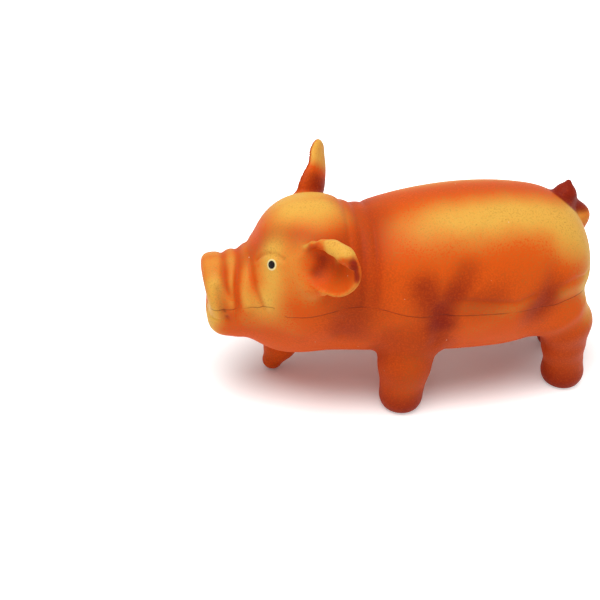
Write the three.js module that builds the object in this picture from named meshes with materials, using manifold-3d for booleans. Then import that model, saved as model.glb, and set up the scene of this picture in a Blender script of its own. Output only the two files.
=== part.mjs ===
// Squeaky pig dog toy: a hollow moulded latex pig, stuffed with fibre, with a reed squeaker in its belly.
// Millimetres, +Z up. The pig stands on Z = 0, faces -X, and its left side is towards -Y.
import * as THREE from 'three';
import { mergeVertices } from 'three/addons/utils/BufferGeometryUtils.js';
import Module from 'manifold-3d';

// Latex skin
const WALL = 2.5;
const CLEARANCE = 0.3;
const SWING_CLEARANCE = 0.5;
const SEAM_Z = 49;

// Trunk, turned about a level axis
const TRUNK_AXIS_Z = 52.6;
const FRONT_X = -38;
const NECK_X = -20;
const NECK_RADIUS = 28.2;
const SHOULDER_X = 4;
const SHOULDER_RADIUS = 32.5;
const BELLY_X = 26;
const BELLY_RADIUS = 33.7;
const HIP_X = 52;
const HIP_RADIUS = 31.8;
const RUMP_X = 78;

// The slanting neck line between head and trunk, from its lower end to its upper end
const NECK_LINE_LOW = new THREE.Vector2(-50, 20);
const NECK_LINE_HIGH = new THREE.Vector2(-22, 84);

// Head: an egg-shaped skull, a ringed snout whose top leads, and a jowl that runs back into the throat
const HEAD_CENTRE = new THREE.Vector3(-36, 0, 55.5);
const HEAD_HALF_LENGTH = 25.6;
const HEAD_HALF_WIDTH = 29.4;
const HEAD_HALF_HEIGHT = 30.8;
const SNOUT_X = -76.6;
const SNOUT_AXIS_Z = 48;
const SNOUT_RADIUS = 15.7;
const SNOUT_ROOT_X = -48;
const SNOUT_ROOT_RADIUS = 20;
const SNOUT_LEAN = 0.15;
const SNOUT_EDGE = 4;
const WRINKLE_COUNT = 3;
const WRINKLE_PITCH = 4.8;
const WRINKLE_DEPTH = 0.7;
const WRINKLE_GROWTH = 1.1;
const JOWL_AXIS_Z = 41;
const JOWL_CHIN_X = -75;
const JOWL_CHIN_RADIUS = 13;
const JOWL_THROAT_X = -28;
const JOWL_THROAT_RADIUS = 20.8;
const JOWL_END_X = 4;

// Ears: cupped leaves on a round root bead, the left one folded over along its upper rim
const EAR_LENGTH = 25;
const EAR_WIDTH = 22.6;
const EAR_DEPTH = 9;
const EAR_TIP_DEPTH = 4;
const EAR_TIP_CURL = 1.2;
const EAR_THICKNESS = 3;
const EAR_TAPER = 0.2;
const EAR_FOLD_RADIUS = 2.2;
const EAR_RIGHT_STRETCH = 1.17;
const EAR_RIGHT_SLIM = 0.88;
const EAR_RIGHT_FLATTEN = 0.52;
const EAR_ROOT_RADIUS = 2.4;
const EAR_ROOT_LENGTH = 10;
const EAR_SWING = 15;

// Where each ear's bead sits, in shares of the skull's half sizes from its centre, and how far the middle of the
// leaf lies from the bead along its reach and out of its hollow
const EAR_LEFT_SEAT = new THREE.Vector3(0.152, -0.867, 0.474);
const EAR_LEFT_OUT = 5.3;
const EAR_LEFT_LIFT = 4.9;
const EAR_RIGHT_SEAT = new THREE.Vector3(0.219, 0.698, 0.698);
const EAR_RIGHT_OUT = 9;
const EAR_RIGHT_LIFT = 3.6;

// Legs: a ball at the hip inside the trunk, a tapering shank that bows forward or back, and a rounded hoof
const LEG_SWING = 8;
const LEG_MOUTH_RADIUS = 5;
const LEG_SOLID_SHARE = 0.3;
const SOLE_EDGE = 4;

// Left front leg, its hip below the shoulder
const FRONT_HIP_SIDE = 17;
const FRONT_HIP_DROP = 16.6;
const FRONT_FOOT_LEAD = 4.4;
const FRONT_FOOT_SPREAD = 4.5;
const FRONT_BOW = 2.4;
const FRONT_BALL_RADIUS = 14;
const FRONT_SHANK_RADIUS = 10.8;
const FRONT_ANKLE_RADIUS = 9.2;
const FRONT_HOOF_RADIUS = 9.4;

// Right front leg, which steps forward under the jowl
const STEP_HIP_LEAD = 33;
const STEP_HIP_SIDE = 14;
const STEP_HIP_DROP = 19.6;
const STEP_FOOT_LEAD = 22;
const STEP_FOOT_SPREAD = 1.8;
const STEP_BOW = 3.3;
const STEP_BALL_RADIUS = 13;
const STEP_SHANK_RADIUS = 9;
const STEP_ANKLE_RADIUS = 6.2;
const STEP_HOOF_RADIUS = 5.4;

// Hind legs, their hips ahead of the rump; the right one stands further back
const HIND_HIP_LEAD = 18;
const HIND_HIP_SIDE = 16.5;
const HIND_HIP_DROP = 14.6;
const HIND_FOOT_LAG = 12.5;
const HIND_FOOT_TUCK = 1.7;
const HIND_BOW = 3.2;
const HIND_BALL_RADIUS = 15;
const HIND_SHANK_RADIUS = 11;
const HIND_ANKLE_RADIUS = 7.9;
const HIND_HOOF_RADIUS = 9.3;
const HIND_HIP_STAGGER = 2;
const HIND_FOOT_STAGGER = 4.5;
const HIND_BOW_STAGGER = 1.8;

// Tail: a curl with a pointed tip on a ball root, its turns measured from the root
const TAIL_LEAD = 13;
const TAIL_SIDE = 1;
const TAIL_RISE_SHARE = 0.736;
const TAIL_ROOT_RADIUS = 6;
const TAIL_TIP_TURN = new THREE.Vector3(2.5, 0, 9.5);
const TAIL_TIP_RADIUS = 2;
const TAIL_BEND_TURN = new THREE.Vector3(8.5, 1, -4);
const TAIL_BEND_RADIUS = 4.5;
const TAIL_END_TURN = new THREE.Vector3(11, 2, -9.5);
const TAIL_END_RADIUS = 3.8;
const TAIL_SWING = 12;
const TAIL_AXIS = new THREE.Vector3(0.6, 0, 0.8);

// Squeaker, a grooved plastic case buttoned into a flat collar under the belly
const SQUEAKER_X = BELLY_X;
const COLLAR_RADIUS = 11;
const COLLAR_THICKNESS = 3.5;
const CASE_RADIUS = 6;
const CASE_BORE_RADIUS = 4.8;
const CASE_HEIGHT = 17;
const CASE_FLOOR = 1.4;
const FLANGE_RADIUS = 8.5;
const FLANGE_THICKNESS = 1.2;
const VENT_RADIUS = 1.5;
const CAP_WALL = 1;
const CAP_SKIRT = 4;
const CAP_HOLE_RADIUS = 0.8;
const CAP_HOLE_COUNT = 5;
const CAP_HOLE_CIRCLE = 2.8;
const HOLDER_HEIGHT = 12;
const HOLDER_FLAT_Y = 0.5;
const AIR_SLOT_WIDTH = 2.2;
const AIR_SLOT_DEPTH = 2.2;
const AIR_SLOT_HEIGHT = 9.5;
const REED_WIDTH = 3.6;
const REED_THICKNESS = 0.3;
const REED_HEIGHT = 10.5;
const WEDGE_HEIGHT = 3;

// Facets round the outer skin, the cavity with its stuffing, and the smaller pieces
const OUTER_SIDES = 26;
const CAVITY_SIDES = 16;
const LEG_SIDES = 14;
const SMALL_SIDES = 12;
const BALL_RINGS = 8;
const ROOM = 300;

const wasm = await Module();
wasm.setup();

// A closed geometry as a solid that can be joined and cut
function solid(geometry) {
  const bare = geometry.index ? geometry.clone() : geometry;
  bare.deleteAttribute('normal');
  bare.deleteAttribute('uv');
  const welded = mergeVertices(bare, 1e-4);
  const position = welded.getAttribute('position');
  const corners = [];
  for (let i = 0; i < welded.index.count; i += 3) {
    const [a, b, c] = [0, 1, 2].map((k) => welded.index.getX(i + k));
    if (a !== b && b !== c && c !== a) corners.push(a, b, c);
  }
  const point = (i) => new THREE.Vector3().fromBufferAttribute(position, i);
  let volume = 0;
  for (let i = 0; i < corners.length; i += 3) {
    volume += point(corners[i]).dot(point(corners[i + 1]).cross(point(corners[i + 2])));
  }
  if (volume < 0) corners.reverse();
  return new wasm.Manifold(new wasm.Mesh({
    numProp: 3,
    vertProperties: new Float32Array(position.array),
    triVerts: new Uint32Array(corners),
  }));
}

function join(...solids) {
  return solids.reduce((whole, next) => whole.add(next));
}

function cut(whole, ...tools) {
  return tools.reduce((left, tool) => left.subtract(tool), whole);
}

// A box from its lowest to its highest corner
function block(low, high) {
  const size = high.map((value, i) => value - low[i]);
  const geometry = new THREE.BoxGeometry(...size);
  return geometry.translate(...low.map((value, i) => value + size[i] / 2));
}

// A round rod or hole standing on the point given
function rod(radius, height, x, y, z, sides = OUTER_SIDES) {
  const geometry = new THREE.CylinderGeometry(radius, radius, height, sides);
  return geometry.rotateX(Math.PI / 2).translate(x, y, z + height / 2);
}

// Turns an outline of (radius, along) points about the Y axis
function turned(outline, sides) {
  return new THREE.LatheGeometry(outline, sides);
}

// Lays a geometry turned about Y along the line from one point towards another, Y = 0 at the first
function laid(geometry, from, towards) {
  const direction = towards.clone().sub(from).normalize();
  const turn = new THREE.Quaternion().setFromUnitVectors(new THREE.Vector3(0, 1, 0), direction);
  return geometry.applyQuaternion(turn).translate(from.x, from.y, from.z);
}

// A smooth outline through (radius, along) pairs, drawn in from its outside by an inset
function outlineInside(pairs, inset, steps) {
  const curve = new THREE.SplineCurve(pairs.map(([radius, along]) => new THREE.Vector2(radius, along)));
  const points = [];
  for (let i = 0; i <= steps; i += 1) {
    const point = curve.getPoint(i / steps);
    const tangent = curve.getTangent(i / steps);
    point.x = Math.max(point.x - tangent.y * inset, 0.05);
    point.y += tangent.x * inset;
    points.push(point);
  }
  points[0].x = 0;
  points[steps].x = 0;
  return points;
}

// A round-ended cone between two points
function taper(from, fromRadius, to, toRadius, sides) {
  const length = from.distanceTo(to);
  const lean = Math.asin((fromRadius - toRadius) / length);
  const points = [];
  const arcSteps = 4;
  for (let i = 0; i <= arcSteps; i += 1) {
    const angle = -Math.PI / 2 + (i / arcSteps) * (Math.PI / 2 + lean);
    points.push(new THREE.Vector2(fromRadius * Math.cos(angle), fromRadius * Math.sin(angle)));
  }
  for (let i = 0; i <= arcSteps; i += 1) {
    const angle = lean + (i / arcSteps) * (Math.PI / 2 - lean);
    points.push(new THREE.Vector2(toRadius * Math.cos(angle), length + toRadius * Math.sin(angle)));
  }
  points[0].x = 0;
  points[points.length - 1].x = 0;
  return laid(turned(points, sides), from, to);
}

function turnedAbout(geometry, pivot, axis, degrees) {
  const turn = new THREE.Quaternion().setFromAxisAngle(axis, THREE.MathUtils.degToRad(degrees));
  const moved = geometry.clone().translate(-pivot.x, -pivot.y, -pivot.z);
  return moved.applyQuaternion(turn).translate(pivot.x, pivot.y, pivot.z);
}

const Y_AXIS = new THREE.Vector3(0, 1, 0);

function alongX(geometry, z) {
  return laid(geometry, new THREE.Vector3(0, 0, z), new THREE.Vector3(1, 0, z));
}

// Trunk: a barrel with a drawn-in neck and a round rump
function trunkForm(inset, sides) {
  const outline = outlineInside([
    [0, FRONT_X],
    [NECK_RADIUS * 0.62, FRONT_X + 4],
    [NECK_RADIUS * 0.92, NECK_X - 7],
    [NECK_RADIUS, NECK_X],
    [SHOULDER_RADIUS, SHOULDER_X],
    [BELLY_RADIUS, BELLY_X],
    [HIP_RADIUS, HIP_X],
    [HIP_RADIUS * 0.8, RUMP_X - 10],
    [HIP_RADIUS * 0.45, RUMP_X - 2.5],
    [0, RUMP_X],
  ], inset, Math.round(sides * 0.6));
  return alongX(turned(outline, sides), TRUNK_AXIS_Z);
}

function skullForm(inset, sides) {
  const ball = new THREE.SphereGeometry(1, sides, Math.round(sides / 2));
  ball.scale(HEAD_HALF_LENGTH - inset, HEAD_HALF_WIDTH - inset, HEAD_HALF_HEIGHT - inset);
  return ball.translate(HEAD_CENTRE.x, HEAD_CENTRE.y, HEAD_CENTRE.z);
}

// Snout: a thick front disc, then wrinkles that run round it, leaning so that its top leads
function snoutForm(inset, sides) {
  const pairs = [[0, SNOUT_X], [SNOUT_RADIUS - SNOUT_EDGE, SNOUT_X], [SNOUT_RADIUS, SNOUT_X + SNOUT_EDGE]];
  for (let i = 0; i < WRINKLE_COUNT; i += 1) {
    const valley = SNOUT_X + SNOUT_EDGE + (i + 0.6) * WRINKLE_PITCH;
    const radius = SNOUT_RADIUS + i * WRINKLE_GROWTH;
    pairs.push([radius - WRINKLE_DEPTH, valley], [radius + WRINKLE_DEPTH, valley + WRINKLE_PITCH / 2]);
  }
  pairs.push([SNOUT_ROOT_RADIUS, SNOUT_ROOT_X], [0, SNOUT_ROOT_X + SNOUT_EDGE]);
  const shape = alongX(turned(outlineInside(pairs, inset, Math.round(sides * 0.7)), sides), 0);
  shape.applyMatrix4(new THREE.Matrix4().makeShear(0, 0, 0, 0, -SNOUT_LEAN, 0));
  return shape.translate(0, 0, SNOUT_AXIS_Z);
}

function jowlForm(inset, sides) {
  const outline = outlineInside([
    [0, JOWL_CHIN_X],
    [JOWL_CHIN_RADIUS * 0.75, JOWL_CHIN_X + 3],
    [JOWL_CHIN_RADIUS, JOWL_CHIN_X + 10],
    [JOWL_THROAT_RADIUS, JOWL_THROAT_X],
    [JOWL_THROAT_RADIUS * 0.8, JOWL_END_X - 6],
    [0, JOWL_END_X],
  ], inset, Math.round(sides * 0.35));
  return alongX(turned(outline, sides), JOWL_AXIS_Z);
}

// The whole body form, drawn in from the outer skin by an inset
function bodyAt(inset, sides) {
  const forms = [trunkForm, skullForm, snoutForm, jowlForm];
  return join(...forms.map((form) => solid(form(inset, sides))));
}

// The half space in front of the neck line, or behind it
function neckSide(front, gap) {
  const run = NECK_LINE_HIGH.clone().sub(NECK_LINE_LOW).normalize();
  const frame = new THREE.Matrix4().makeBasis(
    new THREE.Vector3(run.y, 0, -run.x),
    Y_AXIS,
    new THREE.Vector3(run.x, 0, run.y),
  );
  frame.setPosition(NECK_LINE_LOW.x, 0, NECK_LINE_LOW.y);
  const [low, high] = front ? [-ROOM, -gap] : [gap, ROOM];
  return solid(block([low, -ROOM, -ROOM], [high, ROOM, ROOM]).applyMatrix4(frame));
}

const aboveSeam = solid(block([-ROOM, -ROOM, SEAM_Z + CLEARANCE / 2], [ROOM, ROOM, ROOM]));
const belowSeam = solid(block([-ROOM, -ROOM, -ROOM], [ROOM, ROOM, SEAM_Z - CLEARANCE / 2]));
const belowGround = solid(block([-ROOM, -ROOM, -ROOM], [ROOM, ROOM, 0]));

// Legs: each hangs from its hip, and the right front one steps forward
const frontHip = new THREE.Vector3(SHOULDER_X, -FRONT_HIP_SIDE, TRUNK_AXIS_Z - FRONT_HIP_DROP);
const stepHip = new THREE.Vector3(SHOULDER_X - STEP_HIP_LEAD, STEP_HIP_SIDE, TRUNK_AXIS_Z - STEP_HIP_DROP);
const hindHip = new THREE.Vector3(RUMP_X - HIND_HIP_LEAD, -HIND_HIP_SIDE, TRUNK_AXIS_Z - HIND_HIP_DROP);
const hindHipRight = new THREE.Vector3(hindHip.x + HIND_HIP_STAGGER, HIND_HIP_SIDE, hindHip.z);
const hindFoot = new THREE.Vector3(hindHip.x + HIND_FOOT_LAG, hindHip.y + HIND_FOOT_TUCK, 0);
const hindShape = {
  ball: HIND_BALL_RADIUS,
  shank: HIND_SHANK_RADIUS,
  ankle: HIND_ANKLE_RADIUS,
  hoof: HIND_HOOF_RADIUS,
};
const legs = [
  {
    name: 'front_leg_left',
    hip: frontHip,
    foot: new THREE.Vector3(frontHip.x - FRONT_FOOT_LEAD, frontHip.y - FRONT_FOOT_SPREAD, 0),
    bow: -FRONT_BOW,
    ball: FRONT_BALL_RADIUS,
    shank: FRONT_SHANK_RADIUS,
    ankle: FRONT_ANKLE_RADIUS,
    hoof: FRONT_HOOF_RADIUS,
  },
  {
    name: 'front_leg_right',
    hip: stepHip,
    foot: new THREE.Vector3(stepHip.x - STEP_FOOT_LEAD, stepHip.y + STEP_FOOT_SPREAD, 0),
    bow: -STEP_BOW,
    ball: STEP_BALL_RADIUS,
    shank: STEP_SHANK_RADIUS,
    ankle: STEP_ANKLE_RADIUS,
    hoof: STEP_HOOF_RADIUS,
  },
  {
    name: 'hind_leg_left',
    hip: hindHip,
    foot: hindFoot,
    bow: HIND_BOW,
    ...hindShape,
  },
  {
    name: 'hind_leg_right',
    hip: hindHipRight,
    foot: new THREE.Vector3(hindHipRight.x + HIND_FOOT_LAG + HIND_FOOT_STAGGER, -hindFoot.y, 0),
    bow: HIND_BOW + HIND_BOW_STAGGER,
    ...hindShape,
  },
];

// A leg's outline from its sole, below the ground where it will be cut flat, up to where it meets its ball
function shankOutline(leg) {
  const length = leg.hip.distanceTo(leg.foot);
  return [
    [0, -leg.hoof / 2],
    [leg.hoof - SOLE_EDGE, -leg.hoof / 2],
    [leg.hoof, SOLE_EDGE * 0.6],
    [leg.hoof, length * 0.18],
    [leg.ankle, length * 0.34],
    [leg.shank, length * 0.56],
    [leg.ball * 0.86, length - leg.ball * 0.5],
    [leg.ball * 0.8, length - leg.ball * 0.2],
  ];
}

// Bows a leg form along X between its foot and its hip
function bowed(leg, geometry) {
  const line = new THREE.Line3(leg.foot, leg.hip);
  const position = geometry.getAttribute('position');
  const point = new THREE.Vector3();
  for (let i = 0; i < position.count; i += 1) {
    const share = line.closestPointToPointParameter(point.fromBufferAttribute(position, i), true);
    position.setX(i, point.x + leg.bow * Math.sin(Math.PI * share));
  }
  return geometry;
}

function legBall(leg, grown) {
  const ball = new THREE.SphereGeometry(leg.ball + grown, LEG_SIDES, BALL_RINGS);
  return solid(ball.translate(leg.hip.x, leg.hip.y, leg.hip.z));
}

// The shank runs up into the ball and ends on its centre
function legShank(leg, grown) {
  const outline = outlineInside([
    ...shankOutline(leg),
    [0, leg.hip.distanceTo(leg.foot)],
  ], -grown, BALL_RINGS + 2);
  return bowed(leg, laid(turned(outline, LEG_SIDES), leg.foot, leg.hip));
}

// The room that a leg needs to swing in
function legRoom(leg) {
  const shank = legShank(leg, CLEARANCE);
  const swings = [-LEG_SWING, 0, LEG_SWING];
  return join(
    legBall(leg, SWING_CLEARANCE),
    ...swings.map((angle) => solid(turnedAbout(shank, leg.hip, Y_AXIS, angle))),
  );
}

// A leg is a latex stocking, open into the body at the hip
function legSkin(leg) {
  const beyond = leg.hip.clone().multiplyScalar(2).sub(leg.foot);
  const hollow = taper(
    leg.foot.clone().lerp(leg.hip, LEG_SOLID_SHARE),
    leg.ankle - WALL,
    leg.hip,
    leg.shank - WALL,
    SMALL_SIDES,
  );
  const reach = leg.ball + WALL;
  const mouth = new THREE.CylinderGeometry(LEG_MOUTH_RADIUS, LEG_MOUTH_RADIUS, reach, SMALL_SIDES);
  mouth.translate(0, reach / 2, 0);
  return cut(
    legBall(leg, 0).add(solid(legShank(leg, 0))),
    solid(bowed(leg, hollow)),
    solid(laid(mouth, leg.hip, beyond)),
    belowGround,
  );
}

// A point on the skull, from its shares of the half sizes
function onSkull(seat) {
  const halves = new THREE.Vector3(HEAD_HALF_LENGTH, HEAD_HALF_WIDTH, HEAD_HALF_HEIGHT);
  return halves.multiply(seat).add(HEAD_CENTRE);
}

// Ears: where each bead sits, where the tip points, which way the hollow faces, and the leaf's sizes
const ears = [
  {
    name: 'ear_left',
    root: onSkull(EAR_LEFT_SEAT),
    reach: new THREE.Vector3(0.62, -0.76, 0.12),
    hollow: new THREE.Vector3(-0.72, -0.55, 0.2),
    out: EAR_LEFT_OUT,
    lift: EAR_LEFT_LIFT,
    length: EAR_LENGTH,
    width: EAR_WIDTH,
    depths: [EAR_DEPTH, EAR_TIP_DEPTH],
    folded: true,
  },
  {
    name: 'ear_right',
    root: onSkull(EAR_RIGHT_SEAT),
    reach: new THREE.Vector3(0.36, 0.5, 0.8),
    hollow: new THREE.Vector3(-0.85, 0.5, -0.1),
    out: EAR_RIGHT_OUT,
    lift: EAR_RIGHT_LIFT,
    length: EAR_LENGTH * EAR_RIGHT_STRETCH,
    width: EAR_WIDTH * EAR_RIGHT_SLIM,
    depths: [EAR_DEPTH * EAR_RIGHT_FLATTEN, EAR_TIP_DEPTH * EAR_RIGHT_FLATTEN],
    folded: false,
  },
];

// An ear's own directions: along its root, along its reach and out of its hollow
function earDirections(ear) {
  const reach = ear.reach.clone().normalize();
  const along = reach.clone().cross(ear.hollow).normalize();
  const hollow = along.clone().cross(reach).normalize();
  return { along, reach, hollow };
}

function placedOnEar(ear, geometry) {
  const { along, reach, hollow } = earDirections(ear);
  return geometry.applyMatrix4(new THREE.Matrix4().makeBasis(along, reach, hollow).setPosition(ear.root));
}

// The root bead lies along the line that the ear hinges on
function earBead(ear, grown) {
  const straight = EAR_ROOT_LENGTH - 2 * EAR_ROOT_RADIUS;
  const bead = new THREE.CapsuleGeometry(EAR_ROOT_RADIUS + grown, straight, 4, SMALL_SIDES);
  return solid(placedOnEar(ear, bead.rotateZ(Math.PI / 2)));
}

// A place on an ear's leaf: its share of the half width and of the half length, and its share through the thickness
function onLeaf(ear, across, along, through) {
  const share = (along + 1) / 2;
  const depth = THREE.MathUtils.lerp(...ear.depths, share);
  const sunk = depth * Math.max(1 - across ** 2 - along ** 2, 0);
  return new THREE.Vector3(
    across * (ear.width / 2) * (1 - EAR_TAPER * share ** 2),
    ear.out + along * (ear.length / 2),
    ear.lift + EAR_TIP_CURL * share ** 2 - sunk + through * (EAR_THICKNESS / 2),
  );
}

// The leaf is a thick-rimmed bowl, deepest by its root
function earLeaf(ear) {
  const bowl = new THREE.SphereGeometry(1, CAVITY_SIDES, BALL_RINGS);
  const position = bowl.getAttribute('position');
  for (let i = 0; i < position.count; i += 1) {
    const [across, along, through] = [position.getX(i), position.getY(i), position.getZ(i)];
    const place = onLeaf(ear, across, along, Math.sign(through) * Math.sqrt(Math.abs(through)));
    position.setXYZ(i, place.x, place.y, place.z);
  }
  const leaf = solid(placedOnEar(ear, bowl));
  if (!ear.folded) return leaf;
  const [start, middle, end] = [[-0.84, -0.3], [-0.7, 0.4], [-0.35, 0.8]].map((at) => onLeaf(ear, ...at, 0));
  const fold = [
    taper(start, EAR_FOLD_RADIUS / 2, middle, EAR_FOLD_RADIUS, SMALL_SIDES),
    taper(middle, EAR_FOLD_RADIUS, end, EAR_FOLD_RADIUS / 2, SMALL_SIDES),
  ];
  return join(leaf, ...fold.map((geometry) => solid(placedOnEar(ear, geometry))));
}

// The leaf is trimmed to clear the head and neck however it swings, and then joins its bead
function earSkin(ear) {
  const { along } = earDirections(ear);
  const neighbours = [skullForm, trunkForm].map((form) => form(-SWING_CLEARANCE, OUTER_SIDES));
  const tools = [];
  for (const angle of [-EAR_SWING, 0, EAR_SWING]) {
    tools.push(...neighbours.map((form) => solid(turnedAbout(form, ear.root, along, angle))));
  }
  return join(cut(earLeaf(ear), ...tools), earBead(ear, 0));
}

// Tail: its tip stands up and its curl lies down the rump, trimmed to clear the rump as it swings
const tailSeat = new THREE.Vector3(RUMP_X - TAIL_LEAD, TAIL_SIDE, TRUNK_AXIS_Z + HIP_RADIUS * TAIL_RISE_SHARE);

function tailRoot(grown) {
  const ball = new THREE.SphereGeometry(TAIL_ROOT_RADIUS + grown, CAVITY_SIDES, BALL_RINGS);
  return solid(ball.translate(tailSeat.x, tailSeat.y, tailSeat.z));
}

function tailSkin() {
  const stalk = TAIL_ROOT_RADIUS - WALL / 2;
  const turns = [TAIL_TIP_TURN, TAIL_BEND_TURN, TAIL_END_TURN];
  const [tip, bend, end] = turns.map((turn) => tailSeat.clone().add(turn));
  const curl = join(
    solid(taper(tailSeat, stalk, tip, TAIL_TIP_RADIUS, SMALL_SIDES)),
    solid(taper(tailSeat, stalk, bend, TAIL_BEND_RADIUS, SMALL_SIDES)),
    solid(taper(bend, TAIL_BEND_RADIUS, end, TAIL_END_RADIUS, SMALL_SIDES)),
  );
  const axis = TAIL_AXIS.clone().normalize();
  const rump = trunkForm(-SWING_CLEARANCE, OUTER_SIDES);
  const swings = [-TAIL_SWING, 0, TAIL_SWING];
  const tools = swings.map((angle) => solid(turnedAbout(rump, tailSeat, axis, angle)));
  return join(cut(curl, ...tools), tailRoot(0));
}

// Squeaker heights, built up from the flat face under the belly
const COLLAR_Z = TRUNK_AXIS_Z - BELLY_RADIUS;
const CASE_Z = COLLAR_Z - CLEARANCE - FLANGE_THICKNESS;
const CASE_TOP_Z = CASE_Z + CASE_HEIGHT;
const FLOOR_Z = CASE_Z + CASE_FLOOR + CLEARANCE;
const REED_Y = HOLDER_FLAT_Y + CLEARANCE;
const WEDGE_FLAT_Y = REED_Y + REED_THICKNESS + CLEARANCE;
const INSERT_RADIUS = CASE_BORE_RADIUS - CLEARANCE;
const CAP_RADIUS = CASE_RADIUS + CLEARANCE + CAP_WALL;

// A round tube piece turned about the squeaker's upright axis from a closed outline
function squeakerRing(pairs, z) {
  const outline = pairs.map(([radius, along]) => new THREE.Vector2(radius, along));
  const ring = turned([...outline, outline[0].clone()], CAVITY_SIDES);
  return solid(ring.rotateX(Math.PI / 2).translate(SQUEAKER_X, 0, z));
}

function squeakerRod(radius, height, z, sides = CAVITY_SIDES) {
  return solid(rod(radius, height, SQUEAKER_X, 0, z, sides));
}

// The case: a flange under the collar, a groove through it, a flange above it and an open tube
function squeakerCase() {
  const groove = FLANGE_THICKNESS + COLLAR_THICKNESS + 2 * CLEARANCE;
  return squeakerRing([
    [VENT_RADIUS, 0],
    [FLANGE_RADIUS, 0],
    [FLANGE_RADIUS, FLANGE_THICKNESS],
    [CASE_RADIUS, FLANGE_THICKNESS],
    [CASE_RADIUS, groove],
    [FLANGE_RADIUS, groove],
    [FLANGE_RADIUS, groove + FLANGE_THICKNESS],
    [CASE_RADIUS, groove + FLANGE_THICKNESS],
    [CASE_RADIUS, CASE_HEIGHT],
    [CASE_BORE_RADIUS, CASE_HEIGHT],
    [CASE_BORE_RADIUS, CASE_FLOOR],
    [VENT_RADIUS, CASE_FLOOR],
  ], CASE_Z);
}

// The guard cap keeps the stuffing off the reed and lets the air through
function squeakerCap() {
  const cap = cut(
    squeakerRod(CAP_RADIUS, CAP_SKIRT + CAP_WALL, CASE_TOP_Z + CLEARANCE - CAP_SKIRT),
    squeakerRod(CASE_RADIUS + CLEARANCE, CAP_SKIRT, CASE_TOP_Z + CLEARANCE - CAP_SKIRT),
  );
  const holes = [];
  for (let i = 0; i < CAP_HOLE_COUNT; i += 1) {
    const angle = (i / CAP_HOLE_COUNT) * 2 * Math.PI;
    const x = SQUEAKER_X + CAP_HOLE_CIRCLE * Math.cos(angle);
    const y = CAP_HOLE_CIRCLE * Math.sin(angle);
    holes.push(solid(rod(CAP_HOLE_RADIUS, 4 * CAP_WALL, x, y, CASE_TOP_Z - CAP_WALL, SMALL_SIDES / 2)));
  }
  return cut(cap, ...holes);
}

// The holder: a half-round plug whose flat is opened by the air slot
function reedHolder() {
  const round = squeakerRod(INSERT_RADIUS, HOLDER_HEIGHT, FLOOR_Z);
  const open = block([-ROOM, HOLDER_FLAT_Y, -ROOM], [ROOM, ROOM, ROOM]);
  const slot = block(
    [SQUEAKER_X - AIR_SLOT_WIDTH / 2, HOLDER_FLAT_Y - AIR_SLOT_DEPTH, -ROOM],
    [SQUEAKER_X + AIR_SLOT_WIDTH / 2, ROOM, FLOOR_Z + AIR_SLOT_HEIGHT],
  );
  return cut(round, solid(open), solid(slot));
}

// The wedge pinches the foot of the reed against the holder
function reedWedge() {
  const round = squeakerRod(INSERT_RADIUS, WEDGE_HEIGHT, FLOOR_Z);
  return cut(round, solid(block([-ROOM, -ROOM, -ROOM], [ROOM, WEDGE_FLAT_Y, ROOM])));
}

function reedTongue() {
  return solid(block(
    [SQUEAKER_X - REED_WIDTH / 2, REED_Y, FLOOR_Z],
    [SQUEAKER_X + REED_WIDTH / 2, REED_Y + REED_THICKNESS, FLOOR_Z + REED_HEIGHT],
  ));
}

// The skin and the stuffing, parted at the neck line and at the moulding seam
const legRooms = legs.map(legRoom);
const skin = bodyAt(0, OUTER_SIDES).subtract(bodyAt(WALL, CAVITY_SIDES));
const stuffing = bodyAt(WALL + 2 * CLEARANCE, CAVITY_SIDES);
const earSeats = ears.map((ear) => earBead(ear, CLEARANCE));
const trunkSkin = skin.intersect(neckSide(false, CLEARANCE / 2));
const collar = squeakerRod(COLLAR_RADIUS, COLLAR_THICKNESS, COLLAR_Z);
const collarHole = squeakerRod(CASE_RADIUS + CLEARANCE, 4 * COLLAR_THICKNESS, COLLAR_Z - COLLAR_THICKNESS);
const flangeSeat = squeakerRod(FLANGE_RADIUS + CLEARANCE, COLLAR_THICKNESS, COLLAR_Z + COLLAR_THICKNESS);
const squeakerPocket = squeakerRod(COLLAR_RADIUS + CLEARANCE, CASE_HEIGHT + CAP_WALL + 2 * CLEARANCE, CASE_Z);

const headSkin = cut(skin.intersect(neckSide(true, CLEARANCE / 2)), ...legRooms, ...earSeats);
const backSkin = cut(trunkSkin.intersect(aboveSeam), ...legRooms, tailRoot(CLEARANCE));
const bellySkin = cut(trunkSkin.intersect(belowSeam).add(collar), collarHole, flangeSeat, ...legRooms);
const headFilling = cut(stuffing.intersect(neckSide(true, CLEARANCE / 2)), ...legRooms, ...earSeats);
const trunkFilling = cut(
  stuffing.intersect(neckSide(false, CLEARANCE / 2)),
  ...legRooms,
  tailRoot(CLEARANCE),
  squeakerPocket,
);

// Finishes
const latex = (colour) => new THREE.MeshStandardMaterial({ color: colour, roughness: 0.62, metalness: 0 });
const fibre = () => new THREE.MeshStandardMaterial({ color: 0xece8dd, roughness: 0.95, metalness: 0 });
const plastic = (colour) => new THREE.MeshStandardMaterial({ color: colour, roughness: 0.4, metalness: 0 });
const ORANGE = 0xd9691f;
const OCHRE = 0xe2a23c;
const RED_BROWN = 0xa8391a;
const WHITE = 0xe9e6dc;
const CLEAR_WHITE = 0xd7dcd8;

const pig = new THREE.Group();

function place(name, shape, material) {
  const cutMesh = shape.getMesh();
  const geometry = new THREE.BufferGeometry();
  geometry.setAttribute('position', new THREE.BufferAttribute(cutMesh.vertProperties, 3));
  geometry.setIndex(new THREE.BufferAttribute(cutMesh.triVerts, 1));
  geometry.computeVertexNormals();
  const mesh = new THREE.Mesh(geometry, material);
  mesh.name = name;
  pig.add(mesh);
}

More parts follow.
